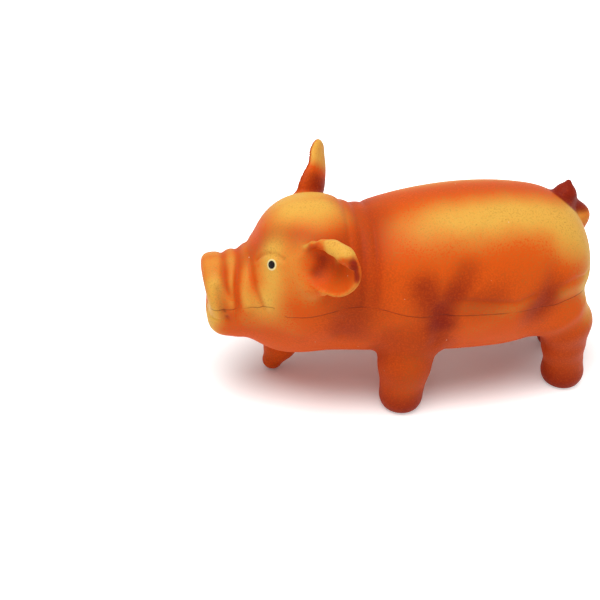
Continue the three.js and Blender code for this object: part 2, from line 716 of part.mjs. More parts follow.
place('head_skin', headSkin, latex(OCHRE));
place('back_skin', backSkin, latex(ORANGE));
place('belly_skin', bellySkin, latex(ORANGE));
for (const leg of legs) place(leg.name, legSkin(leg), latex(RED_BROWN));
for (const ear of ears) place(ear.name, earSkin(ear), latex(ORANGE));
place('tail', tailSkin(), latex(RED_BROWN));
place('head_filling', headFilling, fibre());
place('trunk_filling', trunkFilling, fibre());
place('squeaker_case', squeakerCase(), plastic(WHITE));
place('squeaker_cap', squeakerCap(), plastic(WHITE));
place('reed_holder', reedHolder(), plastic(CLEAR_WHITE));
place('reed_wedge', reedWedge(), plastic(CLEAR_WHITE));
place('reed', reedTongue(), plastic(CLEAR_WHITE));

// The origin lies on the ground, under the middle of the toy
const extent = new THREE.Box3().setFromObject(pig);
const middle = extent.getCenter(new THREE.Vector3());
pig.position.set(-middle.x, -middle.y, -extent.min.z);

export default pig;
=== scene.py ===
import bmesh
import bpy
import numpy as np
from mathutils import Matrix, Vector


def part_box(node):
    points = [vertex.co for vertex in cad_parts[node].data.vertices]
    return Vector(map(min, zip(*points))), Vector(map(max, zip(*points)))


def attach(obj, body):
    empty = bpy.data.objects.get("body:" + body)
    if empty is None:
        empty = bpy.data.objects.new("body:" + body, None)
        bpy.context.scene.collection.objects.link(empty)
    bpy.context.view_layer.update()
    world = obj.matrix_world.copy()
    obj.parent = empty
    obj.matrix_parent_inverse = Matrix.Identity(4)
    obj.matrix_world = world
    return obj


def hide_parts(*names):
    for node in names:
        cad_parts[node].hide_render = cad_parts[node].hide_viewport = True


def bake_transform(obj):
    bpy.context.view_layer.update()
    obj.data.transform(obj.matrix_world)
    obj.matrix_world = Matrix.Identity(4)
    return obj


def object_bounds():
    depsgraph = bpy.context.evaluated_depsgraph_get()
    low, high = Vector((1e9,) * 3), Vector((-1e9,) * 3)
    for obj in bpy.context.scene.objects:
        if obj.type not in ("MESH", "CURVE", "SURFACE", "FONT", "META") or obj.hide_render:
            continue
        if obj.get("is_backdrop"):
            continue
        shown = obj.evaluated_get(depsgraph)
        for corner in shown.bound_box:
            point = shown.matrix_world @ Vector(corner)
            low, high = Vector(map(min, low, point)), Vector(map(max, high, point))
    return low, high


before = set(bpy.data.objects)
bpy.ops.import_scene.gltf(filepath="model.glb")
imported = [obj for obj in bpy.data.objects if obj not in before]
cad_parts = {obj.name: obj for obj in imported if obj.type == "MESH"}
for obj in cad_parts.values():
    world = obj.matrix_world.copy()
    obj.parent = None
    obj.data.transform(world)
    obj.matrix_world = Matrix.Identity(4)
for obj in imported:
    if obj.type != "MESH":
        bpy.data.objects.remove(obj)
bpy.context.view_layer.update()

# Body and legs of the skin: one hollow moulding of soft latex, whose trunk, skull, snout, jowl and legs are
# rounded masses that run into each other in fillets. A form gives the distance of points to its surface, less
# than zero inside. All sizes are in millimetres from the ground under the pig's shoulders.
SQUEAKER_X = 26.0
COLLAR_Z = 18.9
COLLAR_RADIUS = 11.0
COLLAR_HALF_HEIGHT = 3.0
CHEST_X = -14.0
CHEST_LENGTH = 24.0
RUMP_X = 51.5
RUMP_LENGTH = 25.4
TRUNK_ROUNDNESS = 2.3
SKULL_X = -35.1
SKULL_Z = 55.0
SKULL_HALF_LENGTH = 24.9
SKULL_HALF_WIDTH = 29.0
SKULL_HALF_HEIGHT = 30.4
SKULL_ROUNDNESS = 2.2
SKULL_SIZE = 25.0
DISC_X = -76.1
DISC_Z = 48.0
DISC_LEAN = 0.19
NOSE_ROOT_X = -45.0
JAW = [((-64, 0, 41), 12.4), ((-40, 0, 42.2), 19.8)]
CHIN = [((-70.6, -6, 39.3), 6), ((-70.6, 6, 39.3), 6)]
THROAT = [((-45, 0, 38.4), 17.2), ((-15, 0, 40.6), 20.8)]
LEGS = {
    "front_leg_left": [((-0.8, -20.6, 6.2), 8.9), ((-0.2, -20.6, 22), 9.9), ((3, -17, 36), 14.5)],
    "front_leg_right": [((-49.8, 13.4, 4.5), 4.4), ((-46, 14.2, 12), 6.5), ((-30, 14, 33), 14)],
    "hind_leg_left": [((71.4, -14.3, 6.4), 8.8), ((70.4, -15, 13.5), 7.1), ((68, -15.9, 22.5), 8.5),
                      ((65.6, -15.8, 32.3), 11.4), ((60.5, -15.3, 40), 15)],
    "hind_leg_right": [((81, 14.5, 6.2), 8.4), ((78.6, 15, 13.5), 7.2), ((75.2, 15.5, 22.5), 8.4),
                       ((70, 15.5, 31.5), 11.6), ((61.5, 14.6, 40), 15)],
}
LEG_FILLET = 4.0
SOLE_FILLET = 1.6


def through(x, xs, vs):
    """A smooth curve through the values vs at the places xs."""
    xs, vs = np.asarray(xs, float), np.asarray(vs, float)
    slope = np.gradient(vs, xs)
    x = np.clip(x, xs[0], xs[-1])
    i = np.clip(np.searchsorted(xs, x) - 1, 0, len(xs) - 2)
    h = xs[i + 1] - xs[i]
    t = (x - xs[i]) / h
    return ((1 + 2 * t) * (1 - t) ** 2 * vs[i] + t * (1 - t) ** 2 * h * slope[i]
            + t * t * (3 - 2 * t) * vs[i + 1] + t * t * (t - 1) * h * slope[i + 1])


def merge(a, b, fillet):
    """Two forms as one, with a fillet between them."""
    h = np.clip(0.5 + 0.5 * (b - a) / fillet, 0, 1)
    return b + (a - b) * h - fillet * h * (1 - h)


def carve(a, b, fillet):
    """What two forms share, with a rounded edge."""
    return -merge(-a, -b, fillet)


def limb(P, stations, fillet):
    """A run of round cones through (centre, radius) stations."""
    whole = None
    for (a, ra), (b, rb) in zip(stations[:-1], stations[1:]):
        a, b = np.array(a, float), np.array(b, float)
        t = np.clip(((P - a) @ (b - a)) / ((b - a) @ (b - a)), 0, 1)
        radius = ra + (rb - ra) * t * t * (3 - 2 * t)
        d = np.linalg.norm(P - a - t[..., None] * (b - a), axis=-1) - radius
        whole = d if whole is None else merge(whole, d, fillet)
    return whole


def body_form(P):
    """Trunk, skull, snout, jaw and throat."""
    x, y, z = P[..., 0], P[..., 1], P[..., 2]
    middle = through(x, [-36, -20, 5, 25, 54, 79], [51.6, 51.1, 52, 52.6, 52.6, 52.5])
    radius = through(x, [-36, -20, -8, 5, 25, 45, 56, 79], [26.6, 27.8, 30.5, 32.5, 33.8, 33, 31.4, 29])
    ring = np.hypot(y, z - middle) / radius
    end = np.maximum(np.maximum((x - RUMP_X) / RUMP_LENGTH, (CHEST_X - x) / CHEST_LENGTH), 0)
    trunk = ((ring**TRUNK_ROUNDNESS + end**TRUNK_ROUNDNESS) ** (1 / TRUNK_ROUNDNESS) - 1) * radius
    along = np.abs((x - SKULL_X) / SKULL_HALF_LENGTH)
    around = np.hypot(y / SKULL_HALF_WIDTH, (z - SKULL_Z) / SKULL_HALF_HEIGHT)
    skull = ((along**SKULL_ROUNDNESS + around**SKULL_ROUNDNESS) ** (1 / SKULL_ROUNDNESS) - 1) * SKULL_SIZE
    lean = x + DISC_LEAN * (z - DISC_Z)
    nose_middle = through(lean, [-80, -72, -62, -50], [48.8, 48, 47.4, 47])
    nose_radius = through(lean, [-80, -75, -70, -64, -59, -55, -48], [15.1, 15.8, 15.9, 16.7, 17.8, 19.2, 20.4])
    nose = carve(np.hypot(y, z - nose_middle) - nose_radius, DISC_X - lean, 6)
    nose = carve(nose, lean - NOSE_ROOT_X, 3)
    jaw = merge(limb(P, JAW, 1), limb(P, CHIN, 1), 2.5)
    d = merge(skull, nose, 6)
    d = merge(d, jaw, 5)
    d = merge(d, trunk, 6)
    return merge(d, limb(P, THROAT, 1), 5)


def beside_collar(P):
    """Distance to the upright cylinder of the squeaker's collar."""
    return np.hypot(P[..., 0] - SQUEAKER_X, P[..., 1]) - COLLAR_RADIUS


def stocking_form(P):
    """Body and legs, with the flat collar for the squeaker and flat soles."""
    d = body_form(P)
    for stations in LEGS.values():
        d = merge(d, limb(P, stations, LEG_FILLET), LEG_FILLET)
    above = np.abs(P[..., 2] - COLLAR_Z - COLLAR_HALF_HEIGHT) - COLLAR_HALF_HEIGHT
    d = merge(d, np.maximum(beside_collar(P), above), 1)
    return carve(d, -P[..., 2], SOLE_FILLET)


# Ears: latex scoops with a thick rim, moulded in one with the head. The left one lies out sideways with its hollow
# to the front and its upper rim rolled over; the right one stands up with its back to the left. Their widths, rims
# and depths are given at steps along their reach.
EAR_STEPS = (0, 5, 10, 16, 22)
EAR_WALL_HALF = 1.6
EAR_WALL_THINNER = 0.3
EARS = {
    "ear_left": dict(
        root=(-37.4, -24.3, 70.6), reach=(0.62, -0.76, 0.12), hollow=(-0.72, -0.55, 0.2),
        middle=9.7, length=12.9,
        half=(8.2, 9.6, 9.8, 9.6, 8.5),
        rim=(0.2, 1.2, 1.6, 1.8, 2.4),
        depth=(7.6, 7, 6, 4.8, 4),
        flare=(0, 0, 0, 0, 0),
        rolls=[
            ([((-4.2, -4.4, 1.2), 0.6), ((-6.8, 0, 1.9), 0.8), ((-7.9, 5, 2.3), 1.2), ((-7.8, 9.8, 2.4), 2),
              ((-6.2, 15.6, 2.6), 2.4), ((-3.4, 19.2, 2.8), 1.5)], 1.2),
            ([((6.6, -2.8, 2.4), 1.4), ((9, 0.4, 1.4), 1.9), ((9.4, 5.4, 0.9), 1.6)], 1.6),
        ],
    ),
    "ear_right": dict(
        root=(-32, 22.4, 77.8), reach=(0.36, 0.5, 0.8), hollow=(-0.85, 0.5, -0.1),
        middle=8, length=14.6,
        half=(11, 9.4, 8.2, 8, 8),
        rim=(1.4, 0.9, 0.3, 2, 2.8),
        depth=(5.6, 3.8, 2.1, 2.3, 1.6),
        flare=(0, 0.4, 1.8, 2, 0.4),
        rolls=[],
    ),
}


def ramp(x, low, high):
    """A soft step from 0 at low to 1 at high."""
    t = np.clip((x - low) / (high - low), 0, 1)
    return t * t * (3 - 2 * t)


def ear_places(P, ear):
    """Places along the ear's width, along its reach and towards its hollow side."""
    reach = Vector(ear["reach"]).normalized()
    along = reach.cross(Vector(ear["hollow"])).normalized()
    Q = P - np.array(ear["root"], float)
    return Q @ np.array(along), Q @ np.array(reach), Q @ np.array(along.cross(reach))


def ear_cup(a, r, ear):
    """The share of the way out to the ear's edge, the height of its middle sheet there and how steep that is."""
    half, rim, depth, flare = [through(r, EAR_STEPS, ear[key]) for key in ("half", "rim", "depth", "flare")]
    u, v = a / half, (r - ear["middle"]) / ear["length"]
    out = np.sqrt(u**2 + v**2 + 1e-6)
    steep = np.sqrt(1 + (2 * depth * u / half) ** 2 + (2 * depth * v / ear["length"]) ** 2)
    return out, rim + flare * ramp(-a, 1, 7) - depth * (1 - out**2), steep


def ear_form(P, ear):
    a, r, h = ear_places(P, ear)
    out, cup, steep = ear_cup(a, r, ear)
    sheet = np.abs(h - cup) / steep - (EAR_WALL_HALF - EAR_WALL_THINNER * np.clip(out, 0, 1) ** 2)
    d = carve(sheet, (out - 1) * 10, EAR_WALL_HALF)
    for stations, fillet in ear["rolls"]:
        d = merge(d, limb(np.stack([a, r, h], -1), stations, 3), fillet)
    return d


# Tail: a pointed knob of latex that stands on a curl lying down the rump, moulded in one with the back.
# Both are runs of round cones.
TAIL_KNOB = [((65.3, 1, 76.5), 5.8), ((66.8, 1.5, 80.5), 4.2), ((67.8, 2, 85), 1)]
TAIL_CURL = [((69, 2, 77), 3.6), ((74, 3, 70), 4.6), ((74.6, 4, 63.8), 4.2)]


def tail_form(P):
    return merge(limb(P, TAIL_KNOB, 2), limb(P, TAIL_CURL, 3), 1.5)


# Moulded detail, as dents (above zero) and swellings in the latex: snout rings, mouth, nostrils, eyelids, neck
# folds and the creases where the legs meet the flank. Most of them follow paths that are laid onto the skin.
WALL = 2.2
COLLAR_THICKNESS = 3.5


def bell(d, width):
    """A soft bump: 1 at a distance of zero, fading out over a width."""
    return np.exp(-((d / width) ** 2))


def apart(P, point):
    """Distance to a point."""
    return np.linalg.norm(P - np.array(point, float), axis=-1)


def away(P, *path):
    """Distance to the line through the points of a path."""
    best = np.full(P.shape[:-1], 1e9)
    for a, b in zip(path[:-1], path[1:]):
        a, b = np.array(a, float), np.array(b, float)
        t = np.clip(((P - a) @ (b - a)) / ((b - a) @ (b - a)), 0, 1)
        best = np.minimum(best, np.linalg.norm(P - a - t[..., None] * (b - a), axis=-1))
    return best


def mirrored(P):
    """Points of the right side moved to the left one, for what is alike on both."""
    return np.stack([P[..., 0], -np.abs(P[..., 1]), P[..., 2]], -1)


def slope_of(f, P, e=0.05):
    """The way that leads straight out of a form, by small steps to both sides."""
    G = np.empty_like(P)
    for i in range(3):
        s = np.zeros(3)
        s[i] = e
        G[:, i] = (f(P + s) - f(P - s)) / (2 * e)
    return G


def onto(f, V, turns):
    """Points moved onto the surface of a form."""
    for _ in range(turns):
        G = slope_of(f, V)
        step = (f(V) / np.maximum((G**2).sum(1), 0.2))[:, None] * G
        V = V - np.clip(step, -0.8, 0.8)
    return V


def smooth_form(P):
    """Body, legs and tail before the detail."""
    return merge(stocking_form(P), tail_form(P), 2)


def laid(*path):
    """The points of a path, moved onto the skin."""
    return onto(smooth_form, np.array(path, float), 6)


EYE = tuple(laid((-53.2, -19.3, 68.3))[0])
LIP = laid((-72.2, -12.8, 56.2), (-71.7, -14.5, 52.4), (-70.7, -14.9, 47.8), (-69.5, -14.6, 44.6))
MOUTH = laid((-69.5, -14.6, 44.6), (-72.4, -14.1, 43.6), (-75, -10, 43), (-75.6, 0, 42.8))
LID = laid((-57.2, -11.2, 66.4), (-56, -11.8, 68.2), (-53.9, -13.9, 70.2), (-51, -17.3, 71.3),
           (-48.6, -20.4, 70.8))
HAUNCH = laid((52.7, -29.3, 64), (51.3, -31.5, 57.6), (48.9, -32.5, 51.3), (46.1, -32, 46.4), (44.9, -30, 40.2))
RUMP_CREASE = laid((53.7, -31.5, 56.1), (61.3, -29, 58.2), (70.8, -20.6, 56.8))
SEAT_CREASE = laid((50.2, -32, 48.5), (59.7, -30.5, 50.3), (67.7, -27, 50.3), (74.5, -19.5, 48.2),
                   (77, -9, 48), (77.5, 0, 48))
SIDE_CREASE = laid((11.9, -33, 55.8), (21.8, -33.6, 55.1), (37.4, -33.8, 53), (44.1, -33.2, 55.4))
ARMPIT = laid((8.9, -33, 51), (9.5, -33, 45.5))
ELBOW = laid((9.5, -33, 49), (11.9, -33.3, 55.7), (15, -32.5, 61), (18.1, -31, 65.8))
SHOULDER = laid((9, -33, 49), (6.3, -33, 51.9), (2.1, -31.4, 59.9))
EAR_ROOT = laid((-34.8, -24.6, 72.4), (-35.2, -25.2, 70.1), (-37.3, -26.5, 67.8))
EAR_FRONT = laid((-41.6, -22, 75.2), (-44, -23.2, 71.4), (-44.3, -25.2, 67.2), (-41.8, -27.2, 62.9),
                 (-39.3, -28.3, 60.5))
UNDER_SEAT = ((69, -25, 44.5), (76, -13, 44), (77.5, 0, 44))
JOWL_CREASE = ((-28, -28, 47), (-27, -25, 38))
CHEST_CREASE_LEFT = ((-12.5, -31, 49), (-10, -29, 36))
CHEST_CREASE_RIGHT = ((-12, 31, 48), (-17, 27, 38))
BEHIND_LEG = (8.5, -30, 36)
GROIN = ((52, 0, 20), (54, -17, 24))


def snout_grooves(x, z):
    """How far a point lies behind the first groove of the snout, the second and the edge of the cheek."""
    return (x - through(z, [50, 54, 57, 64], [-67.8, -68.8, -69.7, -69.8]),
            x - through(z, [50, 55, 60, 64.5], [-65.2, -65.6, -64.9, -63.6]),
            x - through(z, [44, 52, 57, 69, 76], [-53, -56.6, -58.5, -59.7, -60]))


def nostrils(P):
    """Two ovals on the disc, given points that are mirrored to the left."""
    across, up = (P[..., 1] + 5.4) / 2, (P[..., 2] - 50.5) / 2.7
    return np.exp(-(across**2) - up**2) * (1 - ramp(P[..., 0], -74, -70))


def neck_folds(x, z):
    """How far a point lies behind the rear fold of the neck, the middle one and the front one."""
    rear = x - through(z, [44, 56, 70, 82, 88], [-17, -15, -14.2, -13.4, -13])
    return rear, rear + 5.4, rear + 10


def dents(P):
    M = mirrored(P)
    x, z = M[..., 0], M[..., 2]
    first, second, cheek = snout_grooves(x, z)
    d = 0.85 * bell(first, 1.4) * ramp(z, 50, 57) * (1 - 0.3 * ramp(z, 60, 65))
    ridges = 0.75 * bell(second, 1.3) - 0.4 * bell(second + 2.3, 1.4) - 0.45 * bell(second - 2.7, 1.5)
    d += ridges * ramp(z, 40, 51) * (1 - 0.6 * ramp(z, 58, 65))
    d += 0.6 * bell(away(M, *LIP), 1.4)
    d += 0.8 * bell(cheek, 1.2) * ramp(z, 44, 53) * (1 - ramp(z, 63, 69))
    d += 1.2 * bell(apart(M, LIP[2]), 0.8)
    d += 1.0 * bell(apart(M, LIP[3] - (0, 0, 0.3)), 0.7)
    d += 0.6 * bell(away(M, *MOUTH), 0.7)
    d += 2.4 * nostrils(M)
    d += 0.7 * bell(away(M, *LID), 0.8)
    d -= 0.4 * bell(away(M, *(LID - (0, 0.6, 2))), 1.2)
    d -= 0.7 * bell(apart(M, EYE), 3)
    rear, middle, front = neck_folds(x, z)
    d += (0.45 * bell(rear, 1.3) + 0.35 * bell(middle, 1.3) + 0.35 * bell(front, 1.3)) * ramp(z, 46, 74)
    d += 0.9 * bell(away(M, *HAUNCH), 4)
    d += 0.6 * bell(away(M, *RUMP_CREASE), 1.3)
    d += (0.7 + 1.1 * ramp(x, 62, 74)) * bell(away(M, *SEAT_CREASE), 3.4)
    d += 0.5 * bell(away(M, *UNDER_SEAT), 3.5)
    d += 0.45 * bell(away(M, *SIDE_CREASE), 0.9)
    d += 0.5 * bell(away(M, *JOWL_CREASE), 2.5)
    d += 1.2 * bell(away(P, *ARMPIT, BEHIND_LEG), 3.4)
    d += 0.6 * bell(away(P, *ELBOW), 3.6)
    d += 0.6 * bell(away(P, *SHOULDER), 3)
    d += 0.8 * bell(away(P, *CHEST_CREASE_LEFT), 2.2)
    d += 0.8 * bell(away(P, *CHEST_CREASE_RIGHT), 3)
    d += 3.6 * bell(away(M, *GROIN), 6.5)
    d += 0.8 * bell(away(P, *EAR_ROOT), 1.9)
    d -= 0.7 * bell(away(P, *EAR_FRONT), 2.4)
    return d


def whole_form(P):
    """The outside of the skin."""
    d = smooth_form(P) + dents(P)
    for ear in EARS.values():
        d = merge(d, ear_form(P, ear), 3)
    return d


def cavity_form(P):
    """The hollow that the stuffing fills; the collar is thicker than the rest of the wall."""
    boss = np.maximum(beside_collar(P), P[..., 2] - COLLAR_Z - COLLAR_THICKNESS)
    return carve(stocking_form(P) + 0.8 * dents(P) + WALL, -boss, 0.5)


# Skin mesh: the latex wall with an outer and an inner surface. Each is a net of quads found on a grid, then moved
# onto its form. It is cut into pieces by planes, and each cut is closed with flat faces.
GRID_LOW = np.array([-84.0, -52, -4])
GRID_HIGH = np.array([94.0, 46, 104])
OUTER_CELL = 1.3
INNER_CELL = 1.8
NEAR_CUT = 0.001
CUT_MERGE = 0.02


def net(f, h):
    """Quads round the surface of a form, with a point in each grid cell that the surface crosses."""
    n = np.ceil((GRID_HIGH - GRID_LOW) / h).astype(int) + 1
    grid = np.stack(np.meshgrid(*[GRID_LOW[i] + h * np.arange(n[i]) for i in range(3)], indexing="ij"), -1)
    F = np.concatenate([f(slab) for slab in np.array_split(grid, 8)])
    inside = F < 0
    corners = [(i, j, k) for i in (0, 1) for j in (0, 1) for k in (0, 1)]
    count = sum(inside[i:n[0] - 1 + i, j:n[1] - 1 + j, k:n[2] - 1 + k].astype(int) for i, j, k in corners)
    active = (count > 0) & (count < 8)
    index = np.full(active.shape, -1)
    index[active] = np.arange(active.sum())
    cells = np.argwhere(active)
    total, hits = np.zeros((len(cells), 3)), np.zeros(len(cells))
    for a in corners:
        for axis in range(3):
            if a[axis]:
                continue
            b = list(a)
            b[axis] = 1
            fa, fb = F[tuple((cells + a).T)], F[tuple((cells + b).T)]
            crossed = (fa < 0) != (fb < 0)
            share = np.where(crossed, fa / (fa - fb + 1e-30), 0)
            spot = np.array(a, float) + np.eye(3)[axis] * share[:, None]
            total[crossed] += spot[crossed]
            hits[crossed] += 1
    V = GRID_LOW + (cells + total / hits[:, None]) * h
    quads = []
    for axis in range(3):
        u, v = (axis + 1) % 3, (axis + 2) % 3
        near, far = [slice(None)] * 3, [slice(None)] * 3
        near[axis], far[axis] = slice(0, -1), slice(1, None)
        edges = np.argwhere(inside[tuple(near)] != inside[tuple(far)])
        leaving = inside[tuple(near)][tuple(edges.T)]
        ring = []
        for du, dv in ((1, 1), (0, 1), (0, 0), (1, 0)):
            cell = edges.copy()
            cell[:, u] -= du
            cell[:, v] -= dv
            ring.append(index[tuple(cell.T)])
        ring = np.stack(ring, 1)
        ring[~leaving] = ring[~leaving][:, ::-1]
        quads.append(ring)
    return V, np.concatenate(quads)


def evened(V, Q):
    """Each point goes most of the way to the middle of its neighbours."""
    pairs = np.stack([Q, np.roll(Q, -1, 1)], -1).reshape(-1, 2)
    pairs = np.concatenate([pairs, pairs[:, ::-1]])
    count = np.bincount(pairs[:, 0], minlength=len(V))[:, None]
    middle = np.stack([np.bincount(pairs[:, 0], V[pairs[:, 1], i], len(V)) for i in range(3)], 1) / count
    return 0.35 * V + 0.65 * middle


def finer(V, Q):
    """Each quad becomes four."""
    sides = np.sort(np.stack([Q, np.roll(Q, -1, 1)], -1).reshape(-1, 2), 1)
    edges, which = np.unique(sides, axis=0, return_inverse=True)
    which = which.reshape(-1, 4) + len(V)
    centre = np.arange(len(Q)) + len(V) + len(edges)
    points = np.concatenate([V, V[edges].mean(1), V[Q].mean(1)])
    quarters = [np.stack([Q[:, i], which[:, i], centre, which[:, i - 1]], 1) for i in range(4)]
    return points, np.concatenate(quarters)


def solid_of(V, Q, into=None):
    """Points and quads as a bmesh, added to another if one is given."""
    mesh = bpy.data.meshes.new("form")
    mesh.from_pydata(V.tolist(), [], Q.tolist())
    bm = into or bmesh.new()
    bm.from_mesh(mesh)
    bpy.data.meshes.remove(mesh)
    return bm


def close(bm, towards):
    """Closes the open rim of a cut with flat faces that look towards a direction."""
    rim = [e for e in bm.edges if e.is_boundary]
    made = bmesh.ops.triangle_fill(bm, use_beauty=True, edges=rim, normal=Vector(towards))["geom"]
    for face in made:
        if isinstance(face, bmesh.types.BMFace) and face.normal.dot(Vector(towards)) < 0:
            face.normal_flip()


def part(bm, point, normal, seed=None, side=0):
    """Cuts a form with a plane and returns what lies beyond it and the rest. With a seed, only what hangs together
    with it counts as beyond; with a side of -1 or 1, only what lies on the pig's left or right."""
    co, no = Vector(point), Vector(normal).normalized()
    everything = bm.verts[:] + bm.edges[:] + bm.faces[:]
    bmesh.ops.bisect_plane(bm, geom=everything, dist=1e-5, plane_co=co, plane_no=no)
    on_cut = [v for v in bm.verts if abs((v.co - co).dot(no)) < NEAR_CUT]
    bmesh.ops.remove_doubles(bm, verts=on_cut, dist=CUT_MERGE)
    bm.faces.index_update()
    middles = {f: f.calc_center_median() for f in bm.faces}
    beyond = {f for f, middle in middles.items() if (middle - co).dot(no) > 0 and middle.y * side >= 0}
    if seed:
        edge = [min(beyond, key=lambda f: (middles[f] - Vector(seed)).length)]
        found = set(edge)
        while edge:
            edge = {other for f in edge for e in f.edges for other in e.link_faces if other in beyond} - found
            found |= edge
        beyond = found
    numbers = {f.index for f in beyond}
    cut = bm.copy()
    bmesh.ops.delete(cut, geom=[f for f in cut.faces if f.index not in numbers], context="FACES")
    bmesh.ops.delete(bm, geom=[f for f in bm.faces if f.index in numbers], context="FACES")
    bm.normal_update()
    cut.normal_update()
    close(cut, -no)
    close(bm, no)
    return cut, bm


outer_V, outer_Q = net(whole_form, OUTER_CELL)
for _ in range(3):
    outer_V = onto(whole_form, evened(outer_V, outer_Q), 1)
outer_V, outer_Q = finer(onto(whole_form, outer_V, 1), outer_Q)
skin = solid_of(onto(whole_form, outer_V, 3), outer_Q)
inner_V, inner_Q = net(cavity_form, INNER_CELL)
skin = solid_of(onto(cavity_form, inner_V, 2), inner_Q[:, ::-1], skin)

# Airbrushed colour: orange latex, sprayed ochre on the brow, cheeks, snout and flanks, and red-brown behind the
# ears and on the feet. Red-brown in the creases, folds, lip pits and ear hollow is painted shade, laid over the
# spray in the hip crease;
# ochre on the snout's ridges, the ear's rim and the rump's folds is painted highlight. Each stroke fades out from
# its path;
# the shares of both colours are kept on the skin's points, and the material adds the grain of the spray, the seam
# line, dust and the painted eyes.
ORANGE = (0.77, 0.105, 0.005, 1)
OCHRE = (0.87, 0.47, 0.075, 1)
RED_BROWN = (0.235, 0.009, 0.003, 1)
SPRAY_DOTS = (0.5, 0.075, 0.005, 1)
SEAM_BROWN = (0.14, 0.015, 0.006, 1)
DUST = (0.9, 0.72, 0.5, 1)
EYE_CREAM = (0.88, 0.74, 0.36, 1)
EYE_BLACK = (0.012, 0.009, 0.008, 1)
EYE_HALF_WIDTH = 1.5
EYE_HALF_HEIGHT = 1.45
EYE_REACH = 5.0


def spray(P, width, *path):
    """One stroke along a path."""
    return bell(away(P, *path), width)


def ochre_and_highlight_strokes(M, N):
    """Ochre and painted highlights, by points of the left side with a wobble and without."""
    ochre_and_highlight = 1.05 * spray(M, 11, (-43, -4, 84), (-34, -6, 84))
    ochre_and_highlight += 1.0 * spray(M, 7, (-53, -17, 71.5), (-54, -19.5, 66), (-54, -21.5, 60), (-55, -20.5, 54))
    ochre_and_highlight += 0.42 * spray(N, 4.5, *EAR_FRONT)
    ochre_and_highlight += 1.0 * spray(M, 5, (-74, -11, 57), (-75, -13, 48))
    ochre_and_highlight += 1.4 * spray(N, 5, (-76.5, 0, 38), (-76, -7, 38), (-75.5, -9.5, 44))
    ochre_and_highlight += 0.6 * spray(M, 5, (-75, -3, 62), (-71, -3, 64))
    ochre_and_highlight += 0.25 * spray(M, 6, (-60, -16, 44), (-45, -24, 45))
    flank = spray(M, 11.5, (-8, -17, 78), (26, -17, 81), (50, -16, 79), (62, -14, 73))
    ochre_and_highlight += 1.05 * flank**1.25 * ramp(M[..., 0], -26, 26)
    # Ochre down the back of the rump, partly spray and partly painted light from the side
    ochre_and_highlight += 0.95 * spray(M, 8, (68, -10, 70), (73, -15, 62), (73, -18, 52), (72, -19, 42))
    ochre_and_highlight += 0.15 * spray(M, 6, (0, -31, 14), (0, -31, 26))
    ochre_and_highlight += 0.4 * spray(M, 7, (58, -24, 71), (64, -23, 67))
    # Painted highlight along the fold of the seat
    ochre_and_highlight += 0.4 * spray(N, 3, (56, -31, 53.6), (69, -24, 53.2), (74, -18, 52))
    ochre_and_highlight += 0.55 * spray(N, 4, (70, -23, 53), (74, -18, 52))
    ochre_and_highlight += 0.1 * spray(M, 8, (20, -32, 43), (36, -32, 43))
    # Painted highlight in a band under the side crease
    ochre_and_highlight += 0.16 * spray(N, 3.4, *(SIDE_CREASE - (0, 0, 3)))
    return ochre_and_highlight


